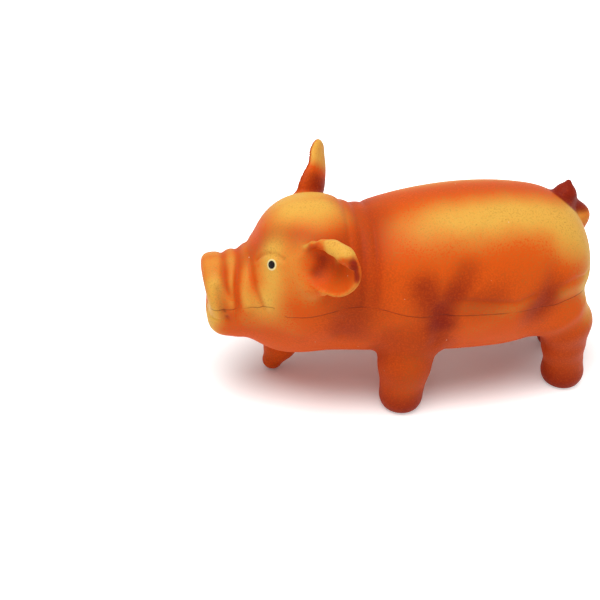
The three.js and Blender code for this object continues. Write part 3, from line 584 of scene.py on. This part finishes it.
def umber_and_shade_strokes(P, W, M, N):
    """Red-brown and painted shade, by points as they are, with a wobble, and both of these mirrored to the left."""
    x, z = M[..., 0], M[..., 2]
    umber_and_shade = 0.15 * spray(M, 8, (-22, 0, 84), (-8, 0, 84), (18, 0, 86), (42, 0, 86), (58, 0, 83))
    umber_and_shade += 0.5 * spray(M, 8, (-15, -8, 82), (-17, -20, 73), (-19, -27, 63), (-20, -29, 54), (-24, -28, 42))
    umber_and_shade += 0.32 * spray(M, 5, (-62, -6, 68), (-53, -12, 76.5), (-46, -17, 78.5), (-36, -22, 78), (-28, -23, 76))
    # Red-brown spray in the hip crease, with painted shade laid on top
    umber_and_shade += 1.15 * spray(N, 5.5, *HAUNCH) * bell(z - 51.5, 9)
    # Painted shade in the armpit, elbow and shoulder creases and along the flank behind them
    pit_shade = np.maximum(1.8 * spray(P, 5, *ARMPIT), 1.1 * spray(P, 5, *ELBOW) * (1 - 0.6 * ramp(z, 56, 67)))
    pit_shade = np.maximum(pit_shade, 0.95 * spray(P, 5.5, *SHOULDER))
    pit_shade = np.maximum(pit_shade, 0.4 * spray(P, 5, (9.5, -33, 45), (9.7, -31, 38)))
    umber_and_shade += np.maximum(pit_shade, 0.42 * spray(W, 6.5, (9, -34, 54), (28, -34, 56.5)))
    # Painted shade in the side crease
    umber_and_shade += 0.15 * spray(N, 1, *SIDE_CREASE)
    hind = 0.45 * (1 - ramp(z, 26, 42))
    strengths = {"front_leg_left": 0.45, "front_leg_right": 0.15, "hind_leg_left": hind, "hind_leg_right": hind}
    for name, strength in strengths.items():
        umber_and_shade += strength * bell(np.maximum(limb(W, LEGS[name], LEG_FILLET), 0), 4)
    umber_and_shade += 1.05 * (1 - ramp(z, 0, 14)) * (1 - 0.8 * ramp(-x, 20, 40))
    # Painted shade in the eyelid crease
    umber_and_shade += 0.14 * spray(N, 0.7, *LID)
    umber_and_shade += 0.24 * spray(N, 5, (-28, -24, 74), (-24, -19, 79))
    umber_and_shade += 0.9 * nostrils(N) ** 2
    # Painted shade in the rear and middle folds of the neck
    rear, middle, _ = neck_folds(N[..., 0], N[..., 2])
    fading = ramp(N[..., 2], 49, 57) * (1 - 0.5 * ramp(N[..., 2], 70, 80))
    umber_and_shade += 0.2 * (bell(rear, 1.5) + bell(middle, 1.5)) * fading
    # Painted shade along the lip line and in the two pits at the corner of the mouth
    umber_and_shade += 0.3 * spray(N, 2, *LIP)
    umber_and_shade += 2.2 * spray(N, 0.7, LIP[2], LIP[2] + 0.1)
    umber_and_shade += 2.0 * spray(N, 0.6, LIP[3], LIP[3] + (0, 0, 0.6))
    umber_and_shade += 0.25 * spray(M, 7, (-27, -28, 47), (-20, -26, 38))
    umber_and_shade += 0.1 * spray(M, 6, (-62, -14, 38), (-50, -22, 38), (-40, -24, 37))
    # Painted shade in the crease at the root of the left ear
    umber_and_shade += 0.6 * spray(P, 2, *EAR_ROOT)
    umber_and_shade += 0.15 * spray(P, 4.5, *EAR_ROOT)
    return umber_and_shade


def snout_light_and_shade(N):
    """Painted highlight in ochre on the ridges of the snout, and how deep in its grooves a point lies, for painted
    shade there.
    """
    x, z = N[..., 0], N[..., 2]
    first, second, cheek = snout_grooves(x, z)
    on_snout = ramp(z, 46, 52) * (1 - 0.5 * ramp(z, 60, 67)) * ramp(-x, 54, 57)
    ridges = 0.4 * bell(second + 2.3, 1.7) + 0.55 * bell(second - 3, 2.2)
    groove_shade = np.maximum(bell(first - 0.5, 1.5) * ramp(z, 51, 57), 0.9 * bell(second, 1.3))
    groove_shade = np.maximum(groove_shade, 0.5 * bell(cheek, 1.4))
    return ridges * on_snout, groove_shade * on_snout


def left_ear_paint(P, ochre_and_highlight, umber_and_shade):
    """Ochre on the rolled rim and the edge, a painted highlight along the thin upper rim with a painted shadow line
    under it, a painted shadow inside the curled tip and a light painted shade in the hollow.
    """
    ear = EARS["ear_left"]
    a, r, h = ear_places(P, ear)
    places = np.stack([a, r, h], -1)
    out, cup, _ = ear_cup(a, r, ear)
    inner = ramp(h - cup, -0.3, 0.6)
    on_ear = bell(np.maximum(ear_form(P, ear), 0), 1.5) * ramp(r, 3, 8)
    folded = (1 - ramp(a + 0.55 * r, 1.5, 4.5)) * ramp(r, 4.5, 11)
    curl_shadow = spray(places[..., :2], 1.5, (-4.6, 20.3), (0.4, 21.7))
    # Painted highlight along the thin upper rim, and a painted shadow line just under it
    ochre_and_highlight = ochre_and_highlight + 0.8 * spray(places, 0.7, (-4.9, -4.2, 2), (-8, 0.2, 2.8), (-9.6, 5, 3.2))
    umber_and_shade = umber_and_shade + 0.3 * spray(places, 0.8, (-3.2, -3.4, 2.2), (-6, 0.6, 3), (-7.2, 5, 3.4))
    ear_ochre = (0.08 + folded + 0.45 * ramp(out, 0.8, 1)) * (1 - curl_shadow)
    # Painted shade in the hollow and painted shadow inside the curled tip
    ear_dark = inner * (1 - folded) * (0.22 * bell(np.hypot(a + 1, r - 8), 6) + 1.7 * curl_shadow)
    return ochre_and_highlight * (1 - on_ear) + on_ear * ear_ochre, umber_and_shade * (1 - on_ear) + on_ear * ear_dark


def right_ear_paint(P, ochre_and_highlight, umber_and_shade):
    """Ochre on the upper part of the ear's back, red-brown in its hollow and at its root."""
    ear = EARS["ear_right"]
    a, r, h = ear_places(P, ear)
    inner = ramp(h - ear_cup(a, r, ear)[1], -0.3, 0.6)
    on_ear = bell(np.maximum(ear_form(P, ear), 0), 1.5) * ramp(r, -4, -1)
    base = (0.4 + 0.6 * (1 - ramp(a, 5, 9))) * (1 - ramp(r, 4, 9))
    ear_ochre = (1 - inner) * 0.95 * ramp(r, 7, 14)
    ear_dark = 0.85 * inner + (1 - inner) * base
    return ochre_and_highlight * (1 - on_ear) + on_ear * ear_ochre, umber_and_shade * (1 - on_ear) + on_ear * ear_dark


def paint(P):
    """The shares of ochre and of red-brown at points of the skin, with painted highlights and painted shade
    included.
    """
    N = mirrored(P)
    W = P + 0.8 * np.sin(P[..., [1, 2, 0]] * 0.21 + (0.4, 1.7, 2.9)) + 0.25 * np.sin(P[..., [2, 0, 1]] * 0.47)
    M = mirrored(W)
    # Painted highlight on the snout's ridges and painted shade in its grooves
    ridges, groove_shade = snout_light_and_shade(N)
    ochre_and_highlight = (ochre_and_highlight_strokes(M, N) + ridges) * (1 - 0.8 * groove_shade)
    umber_and_shade = umber_and_shade_strokes(P, W, M, N) + 0.26 * groove_shade
    on_tail = bell(tail_form(P), 1.5)
    knob = ramp(N[..., 2], 72, 77)
    ochre_and_highlight += 0.3 * on_tail * (1 - knob)
    umber_and_shade += 3.2 * on_tail * knob
    ochre_and_highlight, umber_and_shade = left_ear_paint(P, ochre_and_highlight, umber_and_shade)
    ochre_and_highlight, umber_and_shade = right_ear_paint(P, ochre_and_highlight, umber_and_shade)
    return np.clip(ochre_and_highlight, 0, 1), 1 - np.exp(-1.25 * umber_and_shade)


def node(tree, kind, inputs=(), **values):
    made = tree.nodes.new(kind)
    for name, value in values.items():
        setattr(made, name, value)
    for key, value in dict(inputs).items():
        if isinstance(value, bpy.types.NodeSocket):
            tree.links.new(value, made.inputs[key])
        else:
            made.inputs[key].default_value = value
    return made


def maths(tree, operation, a, b=0.0, c=0.0, clamp=False):
    return node(tree, "ShaderNodeMath", {0: a, 1: b, 2: c}, operation=operation, use_clamp=clamp).outputs[0]


def noise(tree, place, scale, **inputs):
    return node(tree, "ShaderNodeTexNoise", {"Vector": place, "Scale": scale, **inputs}).outputs


def vectors(tree, operation, a, b=(0, 0, 0)):
    return node(tree, "ShaderNodeVectorMath", {0: a, 1: b}, operation=operation).outputs


def fade(tree, value, low, high, start, end, kind="LINEAR"):
    """Start at low, end at high and in between a straight or a smooth run."""
    inputs = {0: value, 1: low, 2: high, 3: start, 4: end}
    return node(tree, "ShaderNodeMapRange", inputs, interpolation_type=kind).outputs[0]


def blend_colour(tree, factor, a, b):
    return node(tree, "ShaderNodeMix", {0: factor, 6: a, 7: b}, data_type="RGBA").outputs[2]


airbrush_and_painted_light = bpy.data.node_groups.new("airbrushed latex", "ShaderNodeTree")
airbrush_and_painted_light.interface.new_socket("Colour", in_out="OUTPUT", socket_type="NodeSocketColor")
airbrush_and_painted_light.interface.new_socket("Roughness", in_out="OUTPUT", socket_type="NodeSocketFloat")
airbrush_and_painted_light.interface.new_socket("Height", in_out="OUTPUT", socket_type="NodeSocketFloat")
rest = node(airbrush_and_painted_light, "ShaderNodeAttribute", attribute_name="rest").outputs["Vector"]
ochre_and_highlight = node(airbrush_and_painted_light, "ShaderNodeAttribute", attribute_name="ochre_and_highlight").outputs["Fac"]
umber_and_shade = node(airbrush_and_painted_light, "ShaderNodeAttribute", attribute_name="umber_and_shade").outputs["Fac"]
seam = node(airbrush_and_painted_light, "ShaderNodeAttribute", attribute_name="seam").outputs["Fac"]
grain = noise(airbrush_and_painted_light, rest, 1.5, Detail=3.0, Roughness=0.6)["Fac"]
cloud = noise(airbrush_and_painted_light, rest, 0.09, Detail=3.0)["Fac"]
grainy = maths(airbrush_and_painted_light, "MULTIPLY_ADD", grain, 1.5, -0.75)
cloudy = maths(airbrush_and_painted_light, "MULTIPLY_ADD", cloud, 0.44, -0.22)
ochre_and_highlight = maths(airbrush_and_painted_light, "MULTIPLY_ADD", ochre_and_highlight, 1.12, -0.1)
ochre_and_highlight = maths(airbrush_and_painted_light, "MULTIPLY_ADD", grainy, 0.8, ochre_and_highlight)
ochre_and_highlight = maths(airbrush_and_painted_light, "ADD", ochre_and_highlight, cloudy, clamp=True)
umber_and_shade = maths(airbrush_and_painted_light, "MULTIPLY_ADD", maths(airbrush_and_painted_light, "ADD", grainy, cloudy), 0.6, umber_and_shade, clamp=True)
colour = blend_colour(airbrush_and_painted_light, ochre_and_highlight, ORANGE, OCHRE)
colour = blend_colour(airbrush_and_painted_light, umber_and_shade, colour, RED_BROWN)
colour = blend_colour(airbrush_and_painted_light, fade(airbrush_and_painted_light, grain, 0.5, 0.72, 0.0, 0.24), colour, SPRAY_DOTS)

groove = fade(airbrush_and_painted_light, maths(airbrush_and_painted_light, "ABSOLUTE", seam), 0.06, 0.3, 1.0, 0.0, "SMOOTHSTEP")
worn = fade(airbrush_and_painted_light, noise(airbrush_and_painted_light, rest, 0.12, Detail=1.0)["Fac"], 0.33, 0.47, 0.0, 1.0)
groove = maths(airbrush_and_painted_light, "MULTIPLY", groove, worn)
colour = blend_colour(airbrush_and_painted_light, maths(airbrush_and_painted_light, "MULTIPLY", groove, 0.5), colour, SEAM_BROWN)

dust = node(airbrush_and_painted_light, "ShaderNodeTexVoronoi", {"Vector": rest, "Scale": 0.22}).outputs
speck = maths(airbrush_and_painted_light, "LESS_THAN", dust["Distance"], 0.05)
chance = node(airbrush_and_painted_light, "ShaderNodeSeparateColor", {0: dust["Color"]}).outputs[0]
speck = maths(airbrush_and_painted_light, "MULTIPLY", speck, maths(airbrush_and_painted_light, "GREATER_THAN", chance, 0.8))
colour = blend_colour(airbrush_and_painted_light, maths(airbrush_and_painted_light, "MULTIPLY", speck, 0.6), colour, DUST)

# The eyes are painted: a black oval in a cream ring, alike on both sides
split = node(airbrush_and_painted_light, "ShaderNodeSeparateXYZ", {0: rest}).outputs
leftward = maths(airbrush_and_painted_light, "MULTIPLY", maths(airbrush_and_painted_light, "ABSOLUTE", split[1]), -1.0)
left_place = node(airbrush_and_painted_light, "ShaderNodeCombineXYZ", {0: split[0], 1: leftward, 2: split[2]}).outputs[0]
offset = vectors(airbrush_and_painted_light, "SUBTRACT", left_place, EYE)[0]
across = Vector((0.78, -0.62, 0.0)).normalized()
upward = across.cross(Vector((-0.55, -0.66, 0.5))).normalized()
wide = vectors(airbrush_and_painted_light, "DOT_PRODUCT", offset, across / EYE_HALF_WIDTH)["Value"]
high = vectors(airbrush_and_painted_light, "DOT_PRODUCT", offset, upward / EYE_HALF_HEIGHT)["Value"]
wide = maths(airbrush_and_painted_light, "POWER", wide, 2.0)
high = maths(airbrush_and_painted_light, "POWER", high, 2.0)
oval = maths(airbrush_and_painted_light, "SQRT", maths(airbrush_and_painted_light, "ADD", wide, high))
near_eye = maths(airbrush_and_painted_light, "LESS_THAN", vectors(airbrush_and_painted_light, "LENGTH", offset)["Value"], EYE_REACH)
ring = maths(airbrush_and_painted_light, "MULTIPLY", fade(airbrush_and_painted_light, oval, 1.4, 1.5, 1.0, 0.0), near_eye)
pupil = maths(airbrush_and_painted_light, "MULTIPLY", fade(airbrush_and_painted_light, oval, 0.97, 1.08, 1.0, 0.0), near_eye)
colour = blend_colour(airbrush_and_painted_light, ring, colour, EYE_CREAM)
colour = blend_colour(airbrush_and_painted_light, pupil, colour, EYE_BLACK)
rough = maths(airbrush_and_painted_light, "MULTIPLY_ADD", pupil, -0.25, maths(airbrush_and_painted_light, "MULTIPLY_ADD", grain, 0.16, 0.44))
height = maths(airbrush_and_painted_light, "MULTIPLY_ADD", grain, 0.12, maths(airbrush_and_painted_light, "MULTIPLY", groove, -0.5))
node(airbrush_and_painted_light, "NodeGroupOutput", {"Colour": colour, "Roughness": rough, "Height": height})

# Skin pieces: each is a cut of the latex skin with a material of its own, shaded by the form's own slope so that it
# runs on without a break into its neighbours. The squeaker, buttoned into the belly, ties the pig's millimetres to
# the shared frame.
SEAM_GAP_X = -50.4
SEAM_GAP_HALF = 1.6
DRILL_SIDES = 48
case_low, case_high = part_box("squeaker_case")
case_x = (case_low.x + case_high.x) / 2
case_y = (case_low.y + case_high.y) / 2
shift = np.array([case_x - SQUEAKER_X / 1000, case_y, 0.0])


def latex(name):
    """Matt latex, a little translucent, with the airbrushed colours, painted highlights and shade, and the fine
    grain of the spray.
    """
    material = bpy.data.materials.new(name)
    material.use_nodes = True
    tree = material.node_tree
    shade = tree.nodes["Principled BSDF"]
    coat = node(tree, "ShaderNodeGroup", node_tree=airbrush_and_painted_light).outputs
    bump = node(tree, "ShaderNodeBump", {"Height": coat["Height"], "Distance": 0.0006, "Strength": 0.6})
    tree.links.new(coat["Colour"], shade.inputs["Base Color"])
    tree.links.new(coat["Roughness"], shade.inputs["Roughness"])
    tree.links.new(bump.outputs[0], shade.inputs["Normal"])
    shade.inputs["Subsurface Weight"].default_value = 0.12
    shade.inputs["Subsurface Radius"].default_value = (0.004, 0.0014, 0.0006)
    shade.inputs["Subsurface Scale"].default_value = 1.0
    shade.inputs["Specular IOR Level"].default_value = 0.1
    return material


def seam_line(V):
    """Height above the moulding seam, which breaks off for a moment where it steps down behind the cheek."""
    xs = [-78, -66.7, -58, -51.5, -49.4, -44, -23, -14.7, -3, 17, 36, 46, 53, 60, 68, 75, 80]
    zs = [47.6, 48.9, 50.3, 51.4, 49.6, 49.7, 52.8, 52.1, 49.2, 49, 48.7, 49, 49, 50.2, 50.2, 48.2, 48]
    gap = ramp(SEAM_GAP_HALF - np.abs(V[:, 0] - SEAM_GAP_X), 0, 0.4)
    return V[:, 2] - through(V[:, 0], xs, zs) + 60 * gap


def drilled(obj, centre, radius, depth):
    """The mesh of a piece with an upright round hole in it."""
    drill = bmesh.new()
    bmesh.ops.create_cone(drill, cap_ends=True, segments=DRILL_SIDES, radius1=radius, radius2=radius,
                          depth=depth, matrix=Matrix.Translation(centre))
    bit_mesh = bpy.data.meshes.new("drill")
    drill.to_mesh(bit_mesh)
    drill.free()
    bit = bpy.data.objects.new("drill", bit_mesh)
    bpy.context.collection.objects.link(bit)
    tool = obj.modifiers.new("hole", "BOOLEAN")
    tool.object = bit
    tool.operation = "DIFFERENCE"
    tool.solver = "EXACT"
    bpy.context.view_layer.update()
    mesh = bpy.data.meshes.new_from_object(obj.evaluated_get(bpy.context.evaluated_depsgraph_get()))
    obj.modifiers.clear()
    bpy.data.objects.remove(bit)
    return mesh


def moulded_normals(mesh, V):
    """A normal for each corner of each face: the slope of the form outside and inside, and flat on a cut."""
    faces = len(mesh.polygons)
    centre, flat = np.empty(faces * 3), np.empty(faces * 3)
    mesh.polygons.foreach_get("center", centre)
    mesh.polygons.foreach_get("normal", flat)
    centre, flat = centre.reshape(-1, 3), flat.reshape(-1, 3)
    corner, sides = np.empty(len(mesh.loops), int), np.empty(faces, int)
    mesh.loops.foreach_get("vertex_index", corner)
    mesh.polygons.foreach_get("loop_total", sides)
    owner = np.repeat(np.arange(faces), sides)
    normals = flat[owner]
    for f, sign in ((whole_form, 1), (cavity_form, -1)):
        G = slope_of(f, centre)
        agrees = (G * flat).sum(1) / np.maximum(np.linalg.norm(G, axis=1), 1e-6) * sign
        on_form = ((np.abs(f(centre)) < 0.3) & (agrees > 0.5))[owner]
        G = slope_of(f, V) * sign
        G = G / np.maximum(np.linalg.norm(G, axis=1), 1e-6)[:, None]
        normals[on_form] = G[corner[on_form]]
    return normals


def skin_piece(bm, name, cad_node, hole=None):
    """A piece of the skin as an object in the shared frame, with its paint, painted highlights and shade on its
    points.
    """
    mesh = bpy.data.meshes.new(name)
    bm.to_mesh(mesh)
    bm.free()
    obj = bpy.data.objects.new(name, mesh)
    bpy.context.collection.objects.link(obj)
    if hole:
        mesh = drilled(obj, *hole)
        obj.data = mesh
    V = np.empty(len(mesh.vertices) * 3)
    mesh.vertices.foreach_get("co", V)
    V = V.reshape(-1, 3)
    normals = moulded_normals(mesh, V)
    mesh.polygons.foreach_set("use_smooth", np.ones(len(mesh.polygons), bool))
    mesh.normals_split_custom_set(normals.tolist())
    ochre_and_highlight_share, umber_and_shade_share = paint(V)
    shares = {"ochre_and_highlight": ochre_and_highlight_share, "umber_and_shade": umber_and_shade_share, "seam": seam_line(V)}
    for key, values in shares.items():
        mesh.attributes.new(key, "FLOAT", "POINT").data.foreach_set("value", values.astype(np.float32))
    moulded_place = mesh.attributes.new("rest", "FLOAT_VECTOR", "POINT")
    moulded_place.data.foreach_set("vector", V.astype(np.float32).ravel())
    mesh.vertices.foreach_set("co", (V / 1000 + shift).astype(np.float32).ravel())
    mesh.update()
    mesh.materials.clear()
    mesh.materials.append(latex(name))
    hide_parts(cad_node)
    return obj


# Ears and tail: solid latex, cut from the head and the rump just outside them.
EAR_CUTS = {
    "ear_left": dict(root=(-40, -27.4, 71), out=(0.0, -0.87, 0.49), gap=2.2),
    "ear_right": dict(root=(-32, 22.4, 77.8), out=(0.15, 0.733, 0.664), gap=2.0),
}
EAR_SEED = 18.0
TAIL_ROOT = (65, 1, 76)
TAIL_OUT = (0.757, 0, 0.654)
TAIL_GAP = 2.2
TAIL_SEED = (67.8, 2, 86)


def metres(point):
    """A place on the pig in the shared frame."""
    return Vector(np.asarray(point, float) / 1000 + shift)


for name, ear_cut in EAR_CUTS.items():
    out = Vector(ear_cut["out"]).normalized()
    start = Vector(ear_cut["root"]) + ear_cut["gap"] * out
    seed = Vector(ear_cut["root"]) + EAR_SEED * Vector(EARS[name]["reach"]).normalized()
    leaf, skin = part(skin, start, out, seed)
    ear = skin_piece(leaf, name + "_leaf", name)
    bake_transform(ear)

out = Vector(TAIL_OUT).normalized()
start = Vector(TAIL_ROOT) + TAIL_GAP * out
knob, skin = part(skin, start, out, TAIL_SEED)
tail = skin_piece(knob, "tail_curl", "tail")
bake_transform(tail)

# Legs: hollow latex stockings, cut from the trunk just under its round by one slanting plane on each side.
TRUNK_AXIS_Z = 52.6
LEG_OUT = 0.515
LEG_DOWN = -0.857
HIP_DISTANCE = 35.0
BETWEEN_LEGS_X = 30.0
for side, sign in (("left", -1), ("right", 1)):
    down = Vector((0, sign * LEG_OUT, LEG_DOWN)).normalized()
    start = Vector((0, 0, TRUNK_AXIS_Z)) + HIP_DISTANCE * down
    pair, skin = part(skin, start, down, side=sign)
    for place, rearward in (("front", -1), ("hind", 1)):
        one = pair.copy()
        others = [v for v in one.verts if (v.co.x - BETWEEN_LEGS_X) * rearward <= 0]
        bmesh.ops.delete(one, geom=others, context="VERTS")
        leg = skin_piece(one, f"{place}_{side}_stocking", f"{place}_leg_{side}")
        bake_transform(leg)
    pair.free()

# Head: hollow latex, everything in front of the slanting line of the neck crease.
# It stays with the belly and doesn't bend.
NECK = Vector((-50, 0, 20))
neck_line = Vector((28, 0, 64)).normalized()
neck_out = Vector((neck_line.z, 0, -neck_line.x))
trunk, front_end = part(skin, NECK, neck_out)
head = skin_piece(front_end, "head_front", "head_skin")
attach(head, "torso")

# Back and belly: the hollow latex trunk, parted at the height of the moulding seam, with a hole for the squeaker in
# the belly. The nape is the part of the back that a slanting plane cuts off next to the neck.
SEAM_Z = 49.0
SINK_Z = 65.0
SINK_BEHIND = 24.0
BELLY_HOLE_RADIUS = 6.3
BELLY_HOLE_DEPTH = 12.0
upper, lower = part(trunk, (0, 0, SEAM_Z), (0, 0, 1))
share = neck_out / SINK_BEHIND - Vector((0, 0, 1)) / (SINK_Z - SEAM_Z)
at_seam = NECK + neck_line * ((SEAM_Z - NECK.z) / neck_line.z)
main, wedge = part(upper, at_seam, share)
nape = skin_piece(wedge, "back_nape", "back_skin")
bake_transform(nape)
back = skin_piece(main, "back_upper", "back_skin")
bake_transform(back)
belly_hole = ((SQUEAKER_X, 0, COLLAR_Z), BELLY_HOLE_RADIUS, BELLY_HOLE_DEPTH)
belly = skin_piece(lower, "belly_lower", "belly_skin", belly_hole)
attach(belly, "torso")

# Stuffing: white polyester fibre, one wad in the head and one in the trunk, pushed in through the belly hole and
# packed round a pocket that the squeaker stands in.
FIBRE_PALE = (0.93, 0.93, 0.91, 1)
FIBRE_SHADE = (0.62, 0.61, 0.58, 1)
STRAND_DRAW = (0.5, 0.03, 0.03)
WAD_CELL = 2.2
WAD_ROOM = 1.0
POCKET_ROOM = 0.6
POCKET_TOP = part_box("squeaker_cap")[1].z * 1000 + 1.0
fibre = bpy.data.materials.new("fibre")
fibre.use_nodes = True
tree = fibre.node_tree
shade = tree.nodes["Principled BSDF"]
place = node(tree, "ShaderNodeTexCoord").outputs["Object"]
bent = noise(tree, place, 120.0, Detail=2.0)["Color"]
drawn = node(tree, "ShaderNodeMapping", {0: bent, 3: STRAND_DRAW}).outputs[0]
strand = noise(tree, vectors(tree, "ADD", place, drawn)[0], 900.0, Detail=4.0)["Fac"]
bump = node(tree, "ShaderNodeBump", {"Height": strand, "Distance": 0.001})
tree.links.new(blend_colour(tree, strand, FIBRE_SHADE, FIBRE_PALE), shade.inputs["Base Color"])
tree.links.new(maths(tree, "MULTIPLY_ADD", strand, 0.2, 0.75), shade.inputs["Roughness"])
tree.links.new(bump.outputs[0], shade.inputs["Normal"])
shade.inputs["Sheen Weight"].default_value = 0.3


def stuffing_form(P):
    x, y, z = P[..., 0], P[..., 1], P[..., 2]
    lumps = 0.3 * np.sin(x * 0.5 + 2 * np.sin(y * 0.23)) + 0.3 * np.sin(y * 0.6 + 1.3) * np.sin(z * 0.5)
    pocket = np.maximum(beside_collar(P) - POCKET_ROOM, z - POCKET_TOP)
    return carve(np.maximum(body_form(P) + WALL, cavity_form(P)) + WAD_ROOM + lumps, -pocket, 1)


def wad(name, cad_node, side):
    """The stuffing in front of the neck (side -1) or behind it (side 1)."""
    def form(P):
        return carve(stuffing_form(P), 0.5 - side * ((P - np.array(NECK)) @ np.array(neck_out)), 1)
    V, Q = net(form, WAD_CELL)
    bm = solid_of((onto(form, V, 2) / 1000 + shift), Q)
    mesh = bpy.data.meshes.new(name)
    bm.to_mesh(mesh)
    bm.free()
    mesh.polygons.foreach_set("use_smooth", np.ones(len(mesh.polygons), bool))
    mesh.materials.append(fibre)
    obj = bpy.data.objects.new(name, mesh)
    bpy.context.collection.objects.link(obj)
    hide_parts(cad_node)
    return obj


head_wad = wad("head_wad", "head_filling", -1)
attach(head_wad, "torso")
trunk_wad = wad("trunk_wad", "trunk_filling", 1)
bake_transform(trunk_wad)

# Squeaker: a case and a cap moulded in white plastic, with a reed, its holder and its wedge in clear plastic.
# These are the solids as they are, in new materials; the case is buttoned into the belly's collar.
WHITE_PALE = (0.88, 0.87, 0.84, 1)
WHITE_DARK = (0.8, 0.79, 0.75, 1)
CLEAR_PALE = (0.93, 0.95, 0.96, 1)
CLEAR_DARK = (0.86, 0.9, 0.92, 1)


def moulded(name, pale, dark, rough, clear):
    material = bpy.data.materials.new(name)
    material.use_nodes = True
    tree = material.node_tree
    shade = tree.nodes["Principled BSDF"]
    place = node(tree, "ShaderNodeTexCoord").outputs["Object"]
    swirl = noise(tree, place, 160.0, Detail=3.0, Distortion=0.6)["Fac"]
    spark = noise(tree, place, 2600.0, Detail=2.0)["Fac"]
    bump = node(tree, "ShaderNodeBump", {"Height": spark, "Distance": 0.0001, "Strength": 0.3})
    tree.links.new(blend_colour(tree, swirl, dark, pale), shade.inputs["Base Color"])
    tree.links.new(maths(tree, "MULTIPLY_ADD", swirl, 0.15, rough), shade.inputs["Roughness"])
    tree.links.new(bump.outputs[0], shade.inputs["Normal"])
    shade.inputs["Transmission Weight"].default_value = clear
    return material


white_plastic = moulded("white_plastic", WHITE_PALE, WHITE_DARK, 0.3, 0.0)
clear_plastic = moulded("clear_plastic", CLEAR_PALE, CLEAR_DARK, 0.12, 0.8)
for name in ("squeaker_case", "squeaker_cap"):
    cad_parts[name].material_slots[0].material = white_plastic
for name in ("reed_holder", "reed_wedge", "reed"):
    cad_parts[name].material_slots[0].material = clear_plastic

# Floor and lights: a white sweep under a broad soft light from above and an even white sky. Away from the pig the
# sweep fades into plain white, for the camera, mirrored and see-through rays only, so it casts no light on the pig.
FLOOR_SIZE = 6.0
FLOOR_DROP = 0.0001
FLOOR_WHITE = (0.97, 0.94, 0.925, 1)
SHADOW_MIDDLE = (0.005, 0.022, 0)
SHADOW_REACH_X = 0.115
SHADOW_REACH_Y = 0.055
SKY_LIGHT = 0.46
LAMP_POWER = 5.4
LAMP_SIZE = 0.6
LAMP_PLACE = Vector((-0.2, -0.22, 0.9))
LAMP_AIM = Vector((0, 0, 0.04))


def seen_rays(tree):
    """1 for rays that show a surface itself, 0 for those that only carry its light."""
    rays = node(tree, "ShaderNodeLightPath").outputs
    mirror = maths(tree, "ADD", rays["Is Camera Ray"], rays["Is Glossy Ray"])
    return maths(tree, "ADD", mirror, rays["Is Transmission Ray"], clamp=True)


bpy.ops.mesh.primitive_plane_add(size=FLOOR_SIZE, location=(0, 0, -FLOOR_DROP))
floor = bpy.context.object
floor.name = "floor"
white = bpy.data.materials.new("floor")
white.use_nodes = True
tree = white.node_tree
shade = tree.nodes["Principled BSDF"]
shade.inputs["Base Color"].default_value = FLOOR_WHITE
shade.inputs["Roughness"].default_value = 0.7
shade.inputs["Specular IOR Level"].default_value = 0.1
shade.inputs["Emission Strength"].default_value = 1.0
place = node(tree, "ShaderNodeNewGeometry").outputs["Position"]
place = vectors(tree, "SUBTRACT", place, SHADOW_MIDDLE)[0]
place = vectors(tree, "MULTIPLY", place, (1 / SHADOW_REACH_X, 1 / SHADOW_REACH_Y, 0))[0]
spread = vectors(tree, "LENGTH", place)["Value"]
far = fade(tree, spread, 0.45, 1.3, 0.0, 1.0, "SMOOTHSTEP")
lit = maths(tree, "MULTIPLY", far, seen_rays(tree))
tree.links.new(blend_colour(tree, lit, (0, 0, 0, 1), (1, 1, 1, 1)), shade.inputs["Emission Color"])
floor.data.materials.append(white)
floor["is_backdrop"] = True

world = bpy.data.worlds.new("studio")
bpy.context.scene.world = world
world.use_nodes = True
tree = world.node_tree
sky = tree.nodes["Background"].inputs
sky["Color"].default_value = (1, 1, 1, 1)
tree.links.new(maths(tree, "MULTIPLY_ADD", seen_rays(tree), 1 - SKY_LIGHT, SKY_LIGHT), sky["Strength"])
lamp = bpy.data.lights.new("softbox", "AREA")
lamp.energy = LAMP_POWER
lamp.size = LAMP_SIZE
softbox = bpy.data.objects.new("softbox", lamp)
softbox.location = LAMP_PLACE
softbox.rotation_euler = (LAMP_AIM - LAMP_PLACE).to_track_quat("-Z", "Y").to_euler()
bpy.context.collection.objects.link(softbox)

# Camera: a normal lens close to the pig, above it and a little towards its head.
# It stands level, without any roll.
CAMERA_PLACE = metres((-79.07, -275.76, 204.02))
CAMERA_AIM = metres((-41.61, -14.89, 50.0))
camera = bpy.data.cameras.new("camera")
camera.sensor_width = 36
camera.lens = 48
view = bpy.data.objects.new("camera", camera)
view.location = CAMERA_PLACE
view.rotation_euler = (CAMERA_AIM - CAMERA_PLACE).to_track_quat("-Z", "Y").to_euler()
bpy.context.collection.objects.link(view)
bpy.context.scene.camera = view
bpy.context.scene.view_settings.view_transform = "Standard"

low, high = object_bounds()
